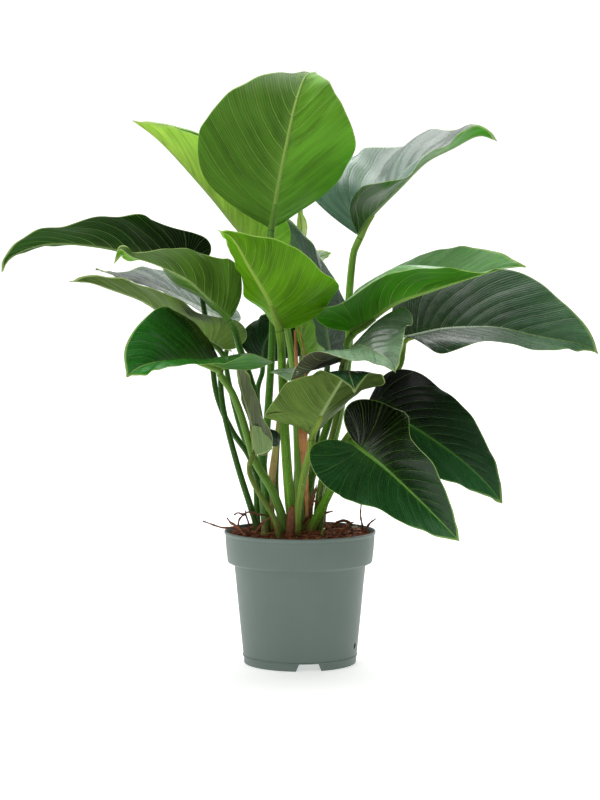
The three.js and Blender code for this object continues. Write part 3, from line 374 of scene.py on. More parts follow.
def carried(along, start, middle):
    """A direction across the line, carried both ways from its middle without turning."""
    across = np.zeros_like(along)

    def square(v, t):
        return unit(v - v @ t * t)

    across[middle] = square(np.asarray(start, float), along[middle])
    for i in range(middle + 1, len(along)):
        across[i] = square(across[i - 1], along[i])
    for i in range(middle - 1, -1, -1):
        across[i] = square(across[i + 1], along[i])
    return across


class Rib:
    """Middle line of a blade with a frame at each point."""

    def __init__(self, leaf):
        self.points, self.length = resampled(catmull(leaf.rib, SAMPLES_PER_SPAN), RIB_SAMPLES)
        self.along = unit(np.gradient(self.points, axis=0))
        up = carried(self.along, leaf.face, RIB_SAMPLES // 2)
        turn = np.radians(leaf.twist) * (np.arange(RIB_SAMPLES + 1) / RIB_SAMPLES - 0.5)
        side = np.cross(self.along, up)
        self.up = np.cos(turn)[:, None] * up + np.sin(turn)[:, None] * side

    def frame(self, y):
        """Centre, upper side and right side at distances y along the rib."""
        y = np.asarray(y, float)
        place = np.clip(y / self.length, 0, 1) * RIB_SAMPLES
        i = np.minimum(place.astype(int), RIB_SAMPLES - 1)
        t = (place - i)[..., None]
        along = unit(self.along[i] * (1 - t) + self.along[i + 1] * t)
        up = unit(self.up[i] * (1 - t) + self.up[i + 1] * t)
        centre = self.points[i] * (1 - t) + self.points[i + 1] * t
        centre = centre + along * np.minimum(y, 0)[..., None]
        return centre, up, np.cross(along, up)


def bezier(p0, p1, p2, p3, t):
    s = 1 - t
    weights = (s**3, 3 * s * s * t, 3 * s * t * t, t**3)
    return [sum(w * p[k] for w, p in zip(weights, (p0, p1, p2, p3))) for k in range(2)]


def station(values, u):
    """Value between evenly spaced stations along the rib."""
    place = np.clip(u, 0, 1) * (len(values) - 1)
    first = np.minimum(place.astype(int), len(values) - 2)
    t = place - first
    t = t * t * (3 - 2 * t)
    given = np.asarray(values, float)
    return given[first] * (1 - t) + given[first + 1] * t


def margin_of(leaf, half, length):
    """Rows of one half from base to tip: margin x and y, start on the rib, travel, vein count."""
    width = leaf.width[half]
    lobe = leaf.lobe[half] * length
    widest = (width, leaf.widest * length)
    neck = (LOBE_NECK * width, -LOBE_BACK * lobe)
    corner = (width, -LOBE_CORNER * lobe)
    shoulder = (width, widest[1] + leaf.shoulder * (length - widest[1]))
    near_tip = (TIP_WIDTH * width, TIP_START * length)
    coarse = PLAIN_ROWS if leaf.plain else FULL_ROWS
    t = np.arange(FINE_ROWS[0]) / FINE_ROWS[0]
    x1, y1 = bezier((0, 0), neck, corner, widest, t)
    lobes = (x1, y1, VEIN_FAN * length * t * t, t * coarse[0], t * VEINS[0])
    t = np.arange(FINE_ROWS[1] + 1) / FINE_ROWS[1]
    x2, y2 = bezier(widest, shoulder, near_tip, (0, length), t)
    start = length * (VEIN_FAN + (1 - VEIN_FAN) * t**ROW_SPREAD)
    sides = (x2, y2, start, coarse[0] + t * coarse[1], VEINS[0] + t * VEINS[1])
    x, y, start, travel, vein = (np.concatenate(pair) for pair in zip(lobes, sides))
    return x, y, start, travel / sum(coarse), vein


def rib_radius(leaf, u):
    """Radius of the midrib on the underside, from the stalk's end to the tip."""
    return RIB_SHARE * leaf.thick[1] * np.clip(1 - u, 0, 1) ** RIB_TAPER + RIB_TIP


def half_blade(leaf, rib, half, phase):
    """Points over and under one half and its attributes: rows by columns from the rib outwards."""
    edge, margin_y, start, travel, vein = margin_of(leaf, half, rib.length)
    edge, start, travel, vein = (v[:, None] for v in (edge, start, travel, vein))
    radius = rib_radius(leaf, start / rib.length)
    near = np.minimum(radius, edge / 7) * np.array(NEAR_RIB)
    painted_shade_inside = near[:, -1:]
    shares = np.arange(1, SPREAD_COLUMNS + 1) / SPREAD_COLUMNS
    spread = painted_shade_inside + (edge - np.minimum(MARGIN_BAND, edge / 9) - painted_shade_inside) * shares
    x = np.concatenate([near, spread, edge], axis=1)
    q = np.divide(x, edge, out=np.zeros_like(x), where=edge > 1e-7)
    y = start + (margin_y[:, None] - start) * (q + q**VEIN_SWEEP) / 2
    u = y / rib.length
    side = -1 if half == 0 else 1
    width = leaf.width[half]
    fold = np.radians(station(leaf.fold[half], u))
    curl = np.radians(station(leaf.curl[half], u))
    centre, up, right = rib.frame(y)
    bend = np.where(np.abs(curl) < 1e-4, 1e-4, curl) / width
    slope = fold + bend * x
    out = side * (np.sin(slope) - np.sin(fold)) / bend
    rise = -(np.cos(slope) - np.cos(fold)) / bend
    normal = -side * np.sin(slope)[..., None] * right + np.cos(slope)[..., None] * up
    depth, count, turn = leaf.wave[half]
    lift = depth * (x / width) ** 2 * np.sin(2 * np.pi * (count * travel + turn))
    for waves, turns, share in RIPPLES:
        lift = lift + RIPPLE * share * q**3 * np.sin(2 * np.pi * (waves * travel + turns * phase))
    quilt = np.abs(np.sin(np.pi * vein)) ** 0.8
    lift = lift + PILLOW * quilt * (1 - q**2) * np.clip(x / PILLOW_START, 0, 1)
    place = centre + out[..., None] * right + rise[..., None] * up + lift[..., None] * normal
    blend = np.clip(x / (2.2 * radius), 0, 1)[..., None] ** 2
    outward = unit(up * (1 - blend) + normal * blend)
    thick = np.clip((edge - x) / MARGIN_SLOPE, 0, 1)
    thick = MARGIN_HALF + (BLADE_HALF - MARGIN_HALF) * thick
    bulge = np.clip(edge / (3 * radius), 0, 1) * radius
    under = thick + bulge * np.sqrt(np.clip(1 - (x / radius) ** 2, 0, 1))
    over = thick + bulge * RIB_BACK * np.clip(1 - (x / (0.9 * radius)) ** 2, 0, 1)
    shares = np.stack([side * q, np.broadcast_to(vein, x.shape), u], -1)
    edges = np.stack([x / radius, (edge - x) * 1000, np.zeros_like(x)], -1)
    return place + outward * over[..., None], place - outward * under[..., None], shares, edges


def new_object(name, points, faces, materials, smooth=True):
    mesh = bpy.data.meshes.new(name)
    mesh.from_pydata([tuple(p) for p in points], [], faces)
    mesh.polygons.foreach_set("use_smooth", [smooth] * len(mesh.polygons))
    for material in materials:
        mesh.materials.append(material)
    mesh.update()
    piece = bpy.data.objects.new(name, mesh)
    bpy.context.scene.collection.objects.link(piece)
    return piece


def give(piece, name, values):
    """A vector for every point of the mesh, which the materials read by its name."""
    made = piece.data.attributes.new(name, "FLOAT_VECTOR", "POINT")
    made.data.foreach_set("vector", np.asarray(values, "f").ravel())


def settle(piece, node):
    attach(piece, BODY)
    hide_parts(node)


def sheet(name, grids, materials, node, pointed=False):
    """Closed piece between an upper and a lower grid; pointed ends shrink to one point."""
    over, under, shares, edges = grids
    rows, columns = over.shape[:2]
    count = rows * columns
    index = np.arange(count).reshape(rows, columns)
    if pointed:
        for row in (0, -1):
            index[row] = index[row, columns // 2]
    quads = np.stack([index[:-1, :-1], index[:-1, 1:], index[1:, 1:], index[1:, :-1]], -1)
    quads = quads.reshape(-1, 4)
    ring = np.concatenate([index[0], index[1:, -1], index[-1, -2::-1], index[-2:0:-1, 0]])
    ahead = np.roll(ring, -1)
    walls = np.stack([ahead, ring, ring + count, ahead + count], -1)
    faces, sides = [], []
    for side, block in ((0, quads), (1, quads[:, ::-1] + count), (1, walls)):
        for corners in block.tolist():
            kept = list(dict.fromkeys(corners))
            if len(kept) > 2:
                faces.append(kept)
                sides.append(min(side, len(materials) - 1))
    used = sorted({v for face in faces for v in face})
    place = {v: i for i, v in enumerate(used)}
    faces = [[place[v] for v in face] for face in faces]
    points = np.concatenate([over.reshape(-1, 3), under.reshape(-1, 3)])
    piece = new_object(name, points[used], faces, materials)
    piece.data.polygons.foreach_set("material_index", sides)
    for key, values in (("leaf", shares), ("edge", edges)):
        give(piece, key, np.tile(values.reshape(-1, 3), (2, 1))[used])
    settle(piece, node)


def blade(name, leaf, rib, materials):
    """Closed blade: upper sheet, under sheet and a thin margin between them."""
    phase = (sum(map(ord, name)) % 17) / 17
    left = half_blade(leaf, rib, 0, phase)
    right = half_blade(leaf, rib, 1, phase + 0.4)
    grids = [np.concatenate([a[:, :0:-1], b], axis=1) for a, b in zip(left, right)]
    sheet(f"leaf_{name}", grids, materials, f"blade_{name}", pointed=True)


def lobe(name, rows, material, node):
    """Thin closed sheet through rows of points, for a curled lobe of a leaf."""
    lines = [catmull(row, LOBE_STEPS) for row in rows]
    grid = np.stack([catmull(line, LOBE_STEPS) for line in zip(*lines)], 1)
    n, m = grid.shape[:2]
    normal = unit(np.cross(np.gradient(grid, axis=0), np.gradient(grid, axis=1)))
    down, over = np.meshgrid(np.linspace(0, 1, n), np.linspace(-1, 1, m), indexing="ij")
    inset = np.minimum(1 - np.abs(over), 2 * np.minimum(down, 1 - down)) * LOBE_INSET
    shares = np.stack([down, LOBE_VEINS * over, over], -1)
    edges = np.stack([0 * down + LOBE_INSET, inset, 0 * down], -1)
    grids = (grid + BLADE_HALF * normal, grid - BLADE_HALF * normal, shares, edges)
    sheet(name, grids, [material], node)


def swept(name, path, radius_at, material, sides=STALK_SIDES, step=STALK_STEP, flat=1.0):
    """Closed tube along a path; radius_at takes the share of the way and the angle."""
    dense = catmull(path, SAMPLES_PER_SPAN)
    length = resampled(dense, 1)[1]
    parts = max(6, round(length / step))
    points, _ = resampled(dense, parts)
    along = unit(np.gradient(points, axis=0))
    across = carried(along, (1, 0, 0), 0)
    third = np.cross(along, across)
    share = (np.arange(parts + 1) / parts)[:, None]
    angle = (2 * np.pi * np.arange(sides) / sides)[None, :]
    r = radius_at(share, angle) * np.ones_like(share + angle)
    wide, high = (r * np.cos(angle))[..., None], (flat * r * np.sin(angle))[..., None]
    grid = points[:, None] + wide * across[:, None] + high * third[:, None]
    index = np.arange(grid[..., 0].size).reshape(parts + 1, sides)
    ahead = np.roll(index, -1, axis=1)
    faces = np.stack([index[:-1], ahead[:-1], ahead[1:], index[1:]], -1).reshape(-1, 4).tolist()
    faces += [index[0][::-1].tolist(), index[-1].tolist()]
    piece = new_object(name, grid.reshape(-1, 3), faces, [material])
    shares = np.stack(
        [share + 0 * angle, angle / (2 * np.pi) + 0 * share, grid[..., 2] - SOIL_LEVEL], -1
    )
    give(piece, "stalk", shares.reshape(-1, 3))
    return piece


def stalk_path(leaf, rib):
    """Up from the soil, through the stalk's points and into the underside of the blade's rib."""
    droop = math.radians(min(0, leaf.fold[0][0], leaf.fold[1][0]))
    drop = (leaf.thick[1] + CAD_BLADE / 2 + GAP) / math.cos(droop)
    path = [
        (*leaf.foot, SOIL_LEVEL - SOCKET_DEPTH),
        (*leaf.foot, SOIL_LEVEL + SOIL_CROWN + STALK_RISE),
        *leaf.stalk,
    ]
    away, lower = leaf.approach
    for distance, below in (
        (-away, drop + lower), (0.002, drop * 0.9), (0.018, drop * 0.62), (0.036, drop * 0.3),
    ):
        centre, up, _ = rib.frame(distance)
        path.append(tuple(centre - up * below))
    return path


def stalk(name, leaf, rib, colours):
    path = stalk_path(leaf, rib)
    base, top = leaf.thick
    rise = path[-1][2] - path[0][2]
    end = 0.92 * float(rib_radius(leaf, 0.1))
    length = resampled(catmull(path, SAMPLES_PER_SPAN), 1)[1]
    joint = 1 - BLADE_JOINT / length

    def radius_at(share, angle):
        foot = 1 + 0.08 * np.exp(-np.clip(share * rise - SOCKET_DEPTH, 0, None) / 0.03)
        neck = 1 + 0.12 * np.exp(-(((share - joint) * length / 0.012) ** 2))
        fade = np.clip((1 - share) * length / 0.045, 0, 1)
        groove = 1 - 0.07 * np.clip(np.sin(angle), 0, 1) ** 4
        plain = base + (top - base) * share
        return (plain * fade + end * (1 - fade)) * foot * neck * groove

    skin = stalk_material(f"stalk_{name}", *colours, joint, length)
    settle(swept(f"stalk_{name}", path, radius_at, skin), f"petiole_{name}")


def colour(code):
    """Linear colour from an sRGB hex code."""
    shares = [int(code[i : i + 2], 16) / 255 for i in (0, 2, 4)]
    return *(v / 12.92 if v <= 0.04045 else ((v + 0.055) / 1.055) ** 2.4 for v in shares), 1.0


def scaled(rgba, factor):
    return *(min(1.0, c * factor) for c in rgba[:3]), 1.0


class Value:
    """A number in a material; arithmetic on it adds Math nodes."""

    def __init__(self, shader, socket):
        self.shader, self.socket = shader, socket

    def through(self, kind, settings, *others):
        made = self.shader.node(kind, settings)
        for socket, value in zip(made.inputs, (self, *others)):
            self.shader.set(socket, value)
        return Value(self.shader, made.outputs[0])

    def math(self, operation, *others):
        return self.through("ShaderNodeMath", {"operation": operation}, *others)

    def __add__(self, other):
        return self.math("ADD", other)

    def __sub__(self, other):
        return self.math("SUBTRACT", other)

    def __mul__(self, other):
        return self.math("MULTIPLY", other)

    def __abs__(self):
        return self.math("ABSOLUTE")

    def step(self, low, high, start=0.0, end=1.0):
        """Smooth change from start to end while the value goes from low to high."""
        smooth = {"interpolation_type": "SMOOTHSTEP"}
        return self.through("ShaderNodeMapRange", smooth, low, high, start, end)


class Shader:
    """A Principled material with short calls for its nodes; body is its colour so far."""

    def __init__(self, name):
        self.material = bpy.data.materials.new(name)
        self.material.use_nodes = True
        self.tree = self.material.node_tree
        self.principled = self.tree.nodes["Principled BSDF"]
        self.place = self.node("ShaderNodeTexCoord").outputs["Object"]

    def node(self, kind, settings=None, **inputs):
        made = self.tree.nodes.new(kind)
        for key, value in (settings or {}).items():
            setattr(made, key, value)
        for key, value in inputs.items():
            self.set(made.inputs[key.replace("_", " ")], value)
        return made

    def set(self, socket, value):
        value = value.socket if isinstance(value, Value) else value
        if isinstance(value, bpy.types.NodeSocket):
            self.tree.links.new(value, socket)
        else:
            socket.default_value = value

    def mix(self, share, a, b):
        made = self.node("ShaderNodeMix", {"data_type": "RGBA"}, Factor=share)
        self.set(made.inputs[6], a)
        self.set(made.inputs[7], b)
        return made.outputs[2]

    def paint(self, share, tint):
        """Lays a share of another colour over the body."""
        self.body = self.mix(share, self.body, tint)

    def split(self, vector):
        outputs = self.node("ShaderNodeSeparateXYZ", Vector=vector).outputs
        return [Value(self, socket) for socket in outputs]

    def parts(self, name):
        """The three numbers of an attribute."""
        read = self.node("ShaderNodeAttribute", {"attribute_name": name})
        return self.split(read.outputs["Vector"])

    def vector(self, x, y, z):
        return self.node("ShaderNodeCombineXYZ", X=x, Y=y, Z=z).outputs[0]

    def noise(self, scale, detail=3.0, roughness=0.55, place=None):
        made = self.node("ShaderNodeTexNoise", Scale=scale, Detail=detail, Roughness=roughness)
        self.set(made.inputs["Vector"], place or self.place)
        return Value(self, made.outputs["Fac"])

    def finish(self, rough, height=None, depth=0.0005, strength=1.0, **constants):
        inputs = self.principled.inputs
        self.set(inputs["Base Color"], self.body)
        self.set(inputs["Roughness"], rough)
        if height is not None:
            bump = self.node("ShaderNodeBump", Strength=strength, Distance=depth, Height=height)
            self.set(inputs["Normal"], bump.outputs[0])
        for key, value in constants.items():
            inputs[key.replace("_", " ")].default_value = value
        return self.material


def leaf_material(name, look, upper):
    """One side of a leaf: veins, midrib, pale margin, mottling, painted sheen and shade, a waxy
    surface.
    """
    codes, glow, gloss, painted_light_balance = look
    over, below, pale = (colour(code) for code in codes.split()[:3])
    base = over if upper else below
    painted_right_light, painted_tip_light = painted_light_balance[:2] if upper else painted_light_balance[2:]
    s = Shader(name)
    across, veins, share = s.parts("leaf")
    to_rib, to_margin, _ = s.parts("edge")
    q = abs(across)
    cloud = s.noise(12.0, 2.0)
    mottle = s.noise(55.0, 5.0, 0.6)
    grain = s.noise(900.0, 2.0)
    drift = mottle * 0.16 + (veins - 0.08)
    main = drift.math("PINGPONG", 0.5).step(0.012, 0.06, 1.0, 0.0) * q.step(0.1, 1.0, 1.0, 0.3)
    uneven = s.noise(3.0, place=s.vector(across * 4.0, (drift + 0.5).math("FLOOR"), 0.0))
    main *= uneven.step(0.3, 0.6, 0.55, 1.0)
    fine = (drift * 5.0).math("PINGPONG", 0.5).step(0.02, 0.22, 1.0, 0.0)
    # Streak noises along the veins for painted sheen and shade bands; the thin one also feeds the
    # bump
    sheen_and_shade_bands = s.noise(1.5, 4.0, place=s.vector(across * 0.7, veins * 0.55, 0.0))
    thin = s.noise(1.6, 3.0, place=s.vector(across * 0.8, veins * 2.6, 3.0))
    rib = to_rib.step(*((0.62, 1.0) if upper else (0.8, 1.25)), 1.0, 0.0)
    s.body = s.mix(cloud.step(0.3, 0.7), scaled(base, 0.84), scaled(base, 1.14))
    # Painted sheen and shade: lighter and darker bands of the body along the veins, from the broad
    # and thin streaks
    for value, limits, factor in (
        (mottle, (0.35, 0.75, 0.0, 0.25), 1.3),
        (sheen_and_shade_bands, (0.5, 0.66, 0.0, 0.6), 0.55),
        (sheen_and_shade_bands, (0.32, 0.48, 0.55, 0.0), 1.45),
        (thin, (0.5, 0.68, 0.0, 0.45), 1.5),
        (thin, (0.32, 0.48, 0.4, 0.0), 0.6),
    ):
        s.paint(value.step(*limits), scaled(base, factor))
    # Painted light and shade: the body scaled lighter or darker towards the right half and towards
    # the tip
    painted_light_factor = across.step(-0.12, 0.12, 1 - painted_right_light, 1 + painted_right_light)
    painted_light_factor += share.step(0.0, 1.0, -painted_tip_light, painted_tip_light)
    painted_light_node = s.node("ShaderNodeVectorMath", {"operation": "SCALE"}, Vector=s.body, Scale=painted_light_factor)
    s.body = painted_light_node.outputs[0]
    s.paint(q.step(0.0, 0.3, 0.1, 0.0), pale)
    s.paint(fine * (0.08 if upper else 0.12), pale)
    s.paint(main * (0.34 if upper else 0.5), pale)
    s.paint(rib * 0.9, scaled(pale, 0.8))
    margin = to_margin.step(0.3, 0.95, 1.0, 0.0)
    s.paint(margin * 0.7, s.mix(0.5, colour("b9c878"), pale))
    relief = (fine * 0.3 + (thin * 0.5 + main)) * (-1.0 if upper else 1.0)
    rough = (mottle + main * 0.2).step(0.3, 0.8, *((0.22, 0.4) if upper else (0.38, 0.56)))
    return s.finish(
        rough, grain * 0.05 + relief, 0.0007, 0.8,
        Subsurface_Weight=glow, Subsurface_Scale=0.003, Subsurface_Radius=(0.5, 1.0, 0.2),
        Specular_IOR_Level=(0.5 if upper else 0.2) * gloss,
        Coat_Weight=(0.18 if upper else 0.03) * gloss, Coat_Roughness=0.2,
    )


def stalk_material(name, green, pale, joint=2.0, length=1.0):
    """Smooth stalk: streaks, pale edge lines and flecks, a brown foot, a dark ring at the joint, a
    painted shaded side and a painted lit top.
    """
    s = Shader(name)
    share, angle, height = s.parts("stalk")
    turn = angle * 6.2832
    long = s.vector(turn.math("SINE") * 3.0, turn.math("COSINE") * 3.0, height * 9.0)
    streak = s.noise(2.2, 4.0, place=long)
    thin = s.noise(9.0, 3.0, place=long)
    fleck = s.noise(420.0, 1.0).step(0.66, 0.72)
    mottle = s.noise(90.0, 3.0)
    base, light = colour(green), colour(pale)
    edge = abs(abs(angle - 0.75) - 0.14).step(0.006, 0.03, 1.0, 0.0) * streak.step(0.35, 0.6)
    # Painted shade: a dark band down one side of the stalk
    painted_shade_side = abs((angle + 0.58).math("FRACT") - 0.5)
    away = abs(share - joint) * length
    s.body = s.mix(streak.step(0.35, 0.7), scaled(base, 0.7), scaled(base, 1.15))
    s.paint(painted_shade_side.step(0.08, 0.22, 0.45, 0.0), scaled(base, 0.4))
    s.paint(thin.step(0.5, 0.75, 0.0, 0.45), light)
    s.paint(edge * 0.45, light)
    # Painted light: the stalk made paler towards its top, where it is lit
    s.paint(share.step(0.8, 1.0, 0.0, 0.3), light)
    s.paint(height.step(0.004, 0.04, 0.3, 0.0), colour("8c9a4a"))
    s.paint(away.step(0.0004, 0.0016, 0.65, 0.0), scaled(base, 0.35))
    s.paint(height.step(0.004, 0.03, 0.8, 0.0) * mottle.step(0.42, 0.6), colour("6b4426"))
    s.paint(fleck * 0.3, colour("c4cc98"))
    return s.finish(
        mottle.step(0.3, 0.7, 0.32, 0.48), thin * 0.6 + fleck * 0.4, 0.0003, 0.6,
        Subsurface_Weight=0.06, Subsurface_Scale=0.003, Subsurface_Radius=(0.6, 1.0, 0.3),
        Specular_IOR_Level=0.2,
    )


def dry_material(name, light, dark, scale, rough, depth, top=None):
    """Dry fibre, bark or twig: long fibres between two colours with a rough surface."""
    s = Shader(name)
    share, angle, height = s.parts("stalk")
    fibre = s.noise(3.0, 5.0, 0.65, s.vector(angle * 14.0, share * 3.0, height))
    patch = s.noise(scale, 4.0)
    s.body = s.mix(fibre.step(0.3, 0.7), colour(dark), colour(light))
    s.paint(patch.step(0.45, 0.7, 0.0, 0.7), scaled(colour(dark), 0.7))
    if top:
        s.paint(share.step(0.55, 0.85, 0.0, 0.85), colour(top))
    return s.finish(patch.step(0.3, 0.7, *rough), fibre, depth, 0.9)


def chip_material():
    """Bark chips: the chip number picks a brown, fibres and dust vary it."""
    s = Shader("bark_chips")
    number, _, _ = s.parts("chip")
    fibre = s.noise(260.0, 5.0, 0.65)
    dust = s.noise(90.0, 3.0)
    s.body = s.mix(number.step(0.1, 0.5), colour("5c2c14"), colour("a4562a"))
    s.paint(number.step(0.6, 0.8), colour("c07840"))
    s.paint(number.step(0.93, 0.97), colour("c89458"))
    s.paint(fibre.step(0.35, 0.7, 0.6, 0.0), colour("381c0e"))
    s.paint(dust.step(0.55, 0.8, 0.0, 0.3), colour("b47a48"))
    s.paint(number.step(0.999, 1.0, 0.0, 0.92), colour("f4f2ea"))
    return s.finish(fibre.step(0.3, 0.7, 0.75, 0.95), fibre, 0.0012, 0.9)


def soil_material():
    """Fine wet fibre between the chips."""
    s = Shader("soil_fibre")
    coarse = s.noise(120.0, 6.0, 0.7)
    fine = s.noise(700.0, 4.0, 0.7)
    s.body = s.mix(coarse.step(0.35, 0.65), colour("3c1a08"), colour("8e4018"))
    s.paint(fine.step(0.5, 0.8, 0.0, 0.6), colour("b4622e"))
    return s.finish(fine.step(0.3, 0.7, 0.8, 1.0), fine * 0.4 + coarse, 0.0025, 1.0)


def pot_material():
    """Moulded grey-green plastic: faint flow lines, dust, scuffs, satin grain, painted shade
    inside.
    """
    s = Shader("pot_plastic")
    x, y, z = s.split(s.place)
    flow = s.noise(1.0, 4.0, place=s.vector(x * 26.0, y * 26.0, z * 1.5))
    scuff = s.noise(1.0, 3.0, place=s.vector(x * 90.0, y * 90.0, z * 700.0))
    cloud = s.noise(9.0, 3.0)
    grain = s.noise(1800.0, 2.0)
    base = colour("687871")
    s.body = s.mix(cloud.step(0.3, 0.7), scaled(base, 0.95), scaled(base, 1.05))
    s.paint(flow.step(0.4, 0.75, 0.0, 0.35), scaled(base, 1.12))
    s.paint(scuff.step(0.66, 0.78, 0.0, 0.3), colour("8f9c95"))
    # Painted shade: the inside wall above the collar's foot darkened
    reach = (x * x + y * y).math("SQRT") - (z - COLLAR_FOOT) * COLLAR_TAPER
    painted_shade_inside = reach.step(0.0990, 0.0999, 1.0, 0.0) * z.step(0.1495, 0.1505)
    s.paint(painted_shade_inside * 0.75, colour("1f3a33"))
    rough = (flow * 0.5 + grain * 0.5).step(0.3, 0.7, 0.4, 0.54)
    return s.finish(rough, flow * 0.5 + grain * 0.25, 0.0003, 0.5, Specular_IOR_Level=0.45)


# Pot, in metres
POT_HEIGHT = 0.184
RIM_RADIUS = 0.105
COLLAR_RADIUS = 0.1006
COLLAR_FOOT = 0.139
COLLAR_TAPER = 0.098
WAIST_RADIUS = 0.0913
BASE_RADIUS = 0.079
POT_WALL = 0.002
FLOOR_LEVEL = 0.011
FLOOR_THICKNESS = 0.0025
POT_SEGMENTS = 176
NOTCH_ANGLES = (-81, 39, 159)
NOTCH_WIDTHS = (0.036, 0.027)
NOTCH_HEIGHT = 0.01
SIDE_HOLES = (-20, 160)
SIDE_HOLE_RADIUS = 0.0041
SIDE_HOLE_LEVEL = 0.027
FLOOR_HOLES = 6
FLOOR_HOLE_RADIUS = 0.005
FLOOR_HOLE_CIRCLE = 0.052
HOLE_SEGMENTS = 20
FLAT_ANGLE = 32


def arc(centre, radius, start, end, parts=5):
    """Points of an arc in the half section, angles in degrees."""
    turns = [math.radians(start + (end - start) * i / parts) for i in range(parts + 1)]
    return [(centre[0] + radius * math.cos(a), centre[1] + radius * math.sin(a)) for a in turns]


def body_radius(level):
    share = (level - FLOOR_LEVEL) / (COLLAR_FOOT - FLOOR_LEVEL)
    return BASE_RADIUS + (WAIST_RADIUS - BASE_RADIUS) * share


def pot_section():
    """Radius and height from the floor's middle to the rim, then down inside to the middle."""
    lip = 0.0011
    floor_top = FLOOR_LEVEL + FLOOR_THICKNESS

    def offset(radius, level, steps):
        return [(radius + out / 1e4, level + up / 1e4) for out, up in steps]

    return [
        (0.0, FLOOR_LEVEL),
        (0.0762, FLOOR_LEVEL),
        *arc((0.0764, 0.0008), 0.0008, 180, 270, 3),
        *arc((0.0770, 0.0008), 0.0008, 270, 360, 3),
        *offset(BASE_RADIUS, FLOOR_LEVEL, ((-7, -10), (3, -6))),
        *arc((BASE_RADIUS, FLOOR_LEVEL + 0.0002), 0.0008, -45, 90, 4),
        (BASE_RADIUS, FLOOR_LEVEL + 0.0018),
        (0.0842, 0.065),
        (0.0888, COLLAR_FOOT - 0.025),
        *offset(WAIST_RADIUS, COLLAR_FOOT, ((-10, -110), (-3, -35), (0, -17))),
        *arc((WAIST_RADIUS + 0.0015, COLLAR_FOOT - 0.0015), 0.0014, 180, 90, 4),
        (COLLAR_RADIUS - 0.0040, COLLAR_FOOT + 0.0004),
        *arc((COLLAR_RADIUS - 0.0032, COLLAR_FOOT + 0.0038), 0.0032, -70, 0, 6),
        *offset(COLLAR_RADIUS, COLLAR_FOOT, ((1, 46), (4, 76), (15, 170), (26, 310))),
        *offset(RIM_RADIUS, POT_HEIGHT, ((-15, -64), (-14, -52), (-10, -42), (-3, -36))),
        *arc((RIM_RADIUS - lip, POT_HEIGHT - lip - 0.0012), lip, -20, 0, 2),
        *arc((RIM_RADIUS - lip, POT_HEIGHT - lip), lip, 0, 180, 8),
        (RIM_RADIUS - POT_WALL - 0.0012, POT_HEIGHT - 0.004),
        *offset(COLLAR_RADIUS - POT_WALL, COLLAR_FOOT, ((0, 45), (-20, 20))),
        (WAIST_RADIUS - POT_WALL, COLLAR_FOOT - 0.001),
        (body_radius(floor_top) - POT_WALL, floor_top),
        (0.0, floor_top),
    ]


def lathe(section, segments):
    """Points and faces of a closed turned body whose section starts and ends on the axis."""
    points, rows = [], []
    for radius, level in section:
        if radius == 0.0:
            rows.append([len(points)] * segments)
            points.append((0.0, 0.0, level))
            continue
        rows.append(range(len(points), len(points) + segments))
        points += [(x, y, level) for x, y in circle(radius, (0.0, 0.0), segments)]
    faces = []
    for low, high in zip(rows, rows[1:]):
        for k in range(segments):
            n = (k + 1) % segments
            face = list(dict.fromkeys((low[k], low[n], high[n], high[k])))
            if len(face) > 2:
                faces.append(face)
    return points, faces


def prism(outline, axis_start, axis_end):
    """Closed prism: outline points (side, up) between two distances along +X."""
    points = [(x, side, up) for x in (axis_start, axis_end) for side, up in outline]
    n = len(outline)
    faces = [list(range(n))[::-1], list(range(n, 2 * n))]
    faces += [[k, (k + 1) % n, (k + 1) % n + n, k + n] for k in range(n)]
    return points, faces


def turned(points, degrees):
    c, s = math.cos(math.radians(degrees)), math.sin(math.radians(degrees))
    return [(c * x - s * y, s * x + c * y, z) for x, y, z in points]


def circle(radius, centre, parts):
    turns = [2 * math.pi * k / parts for k in range(parts)]
    return [(centre[0] + radius * math.cos(a), centre[1] + radius * math.sin(a)) for a in turns]


def gathered(shapes):
    """Points and faces of several shapes as one."""
    points, faces = [], []
    for own, ends in shapes:
        faces += [[v + len(points) for v in face] for face in ends]
        points += own
    return points, faces


def cutters():
    """Notches in the foot, drain holes in the wall and in the floor, as one mesh."""
    below, above = (w / 2 for w in NOTCH_WIDTHS)
    outline = [(-below, -0.001), (below, -0.001), (above, NOTCH_HEIGHT), (-above, NOTCH_HEIGHT)]
    shapes = [(prism(outline, 0.055, 0.1), a) for a in NOTCH_ANGLES]
    hole = circle(SIDE_HOLE_RADIUS, (0.0, SIDE_HOLE_LEVEL), HOLE_SEGMENTS)
    shapes += [(prism(hole, 0.07, 0.09), a) for a in SIDE_HOLES]
    hole = circle(FLOOR_HOLE_RADIUS, (0.0, FLOOR_HOLE_CIRCLE), HOLE_SEGMENTS)
    points, faces = prism(hole, -0.02, 0.0)
    points = [(up, side, -x) for x, side, up in points]
    shapes += [((points, faces), 360 * i / FLOOR_HOLES) for i in range(FLOOR_HOLES)]
    return gathered([(turned(own, degrees), ends) for (own, ends), degrees in shapes])


def outward(piece):
    """Turns every face of a closed mesh outwards."""
    work = bmesh.new()
    work.from_mesh(piece.data)
    bmesh.ops.recalc_face_normals(work, faces=work.faces)
    work.to_mesh(piece.data)
    work.free()


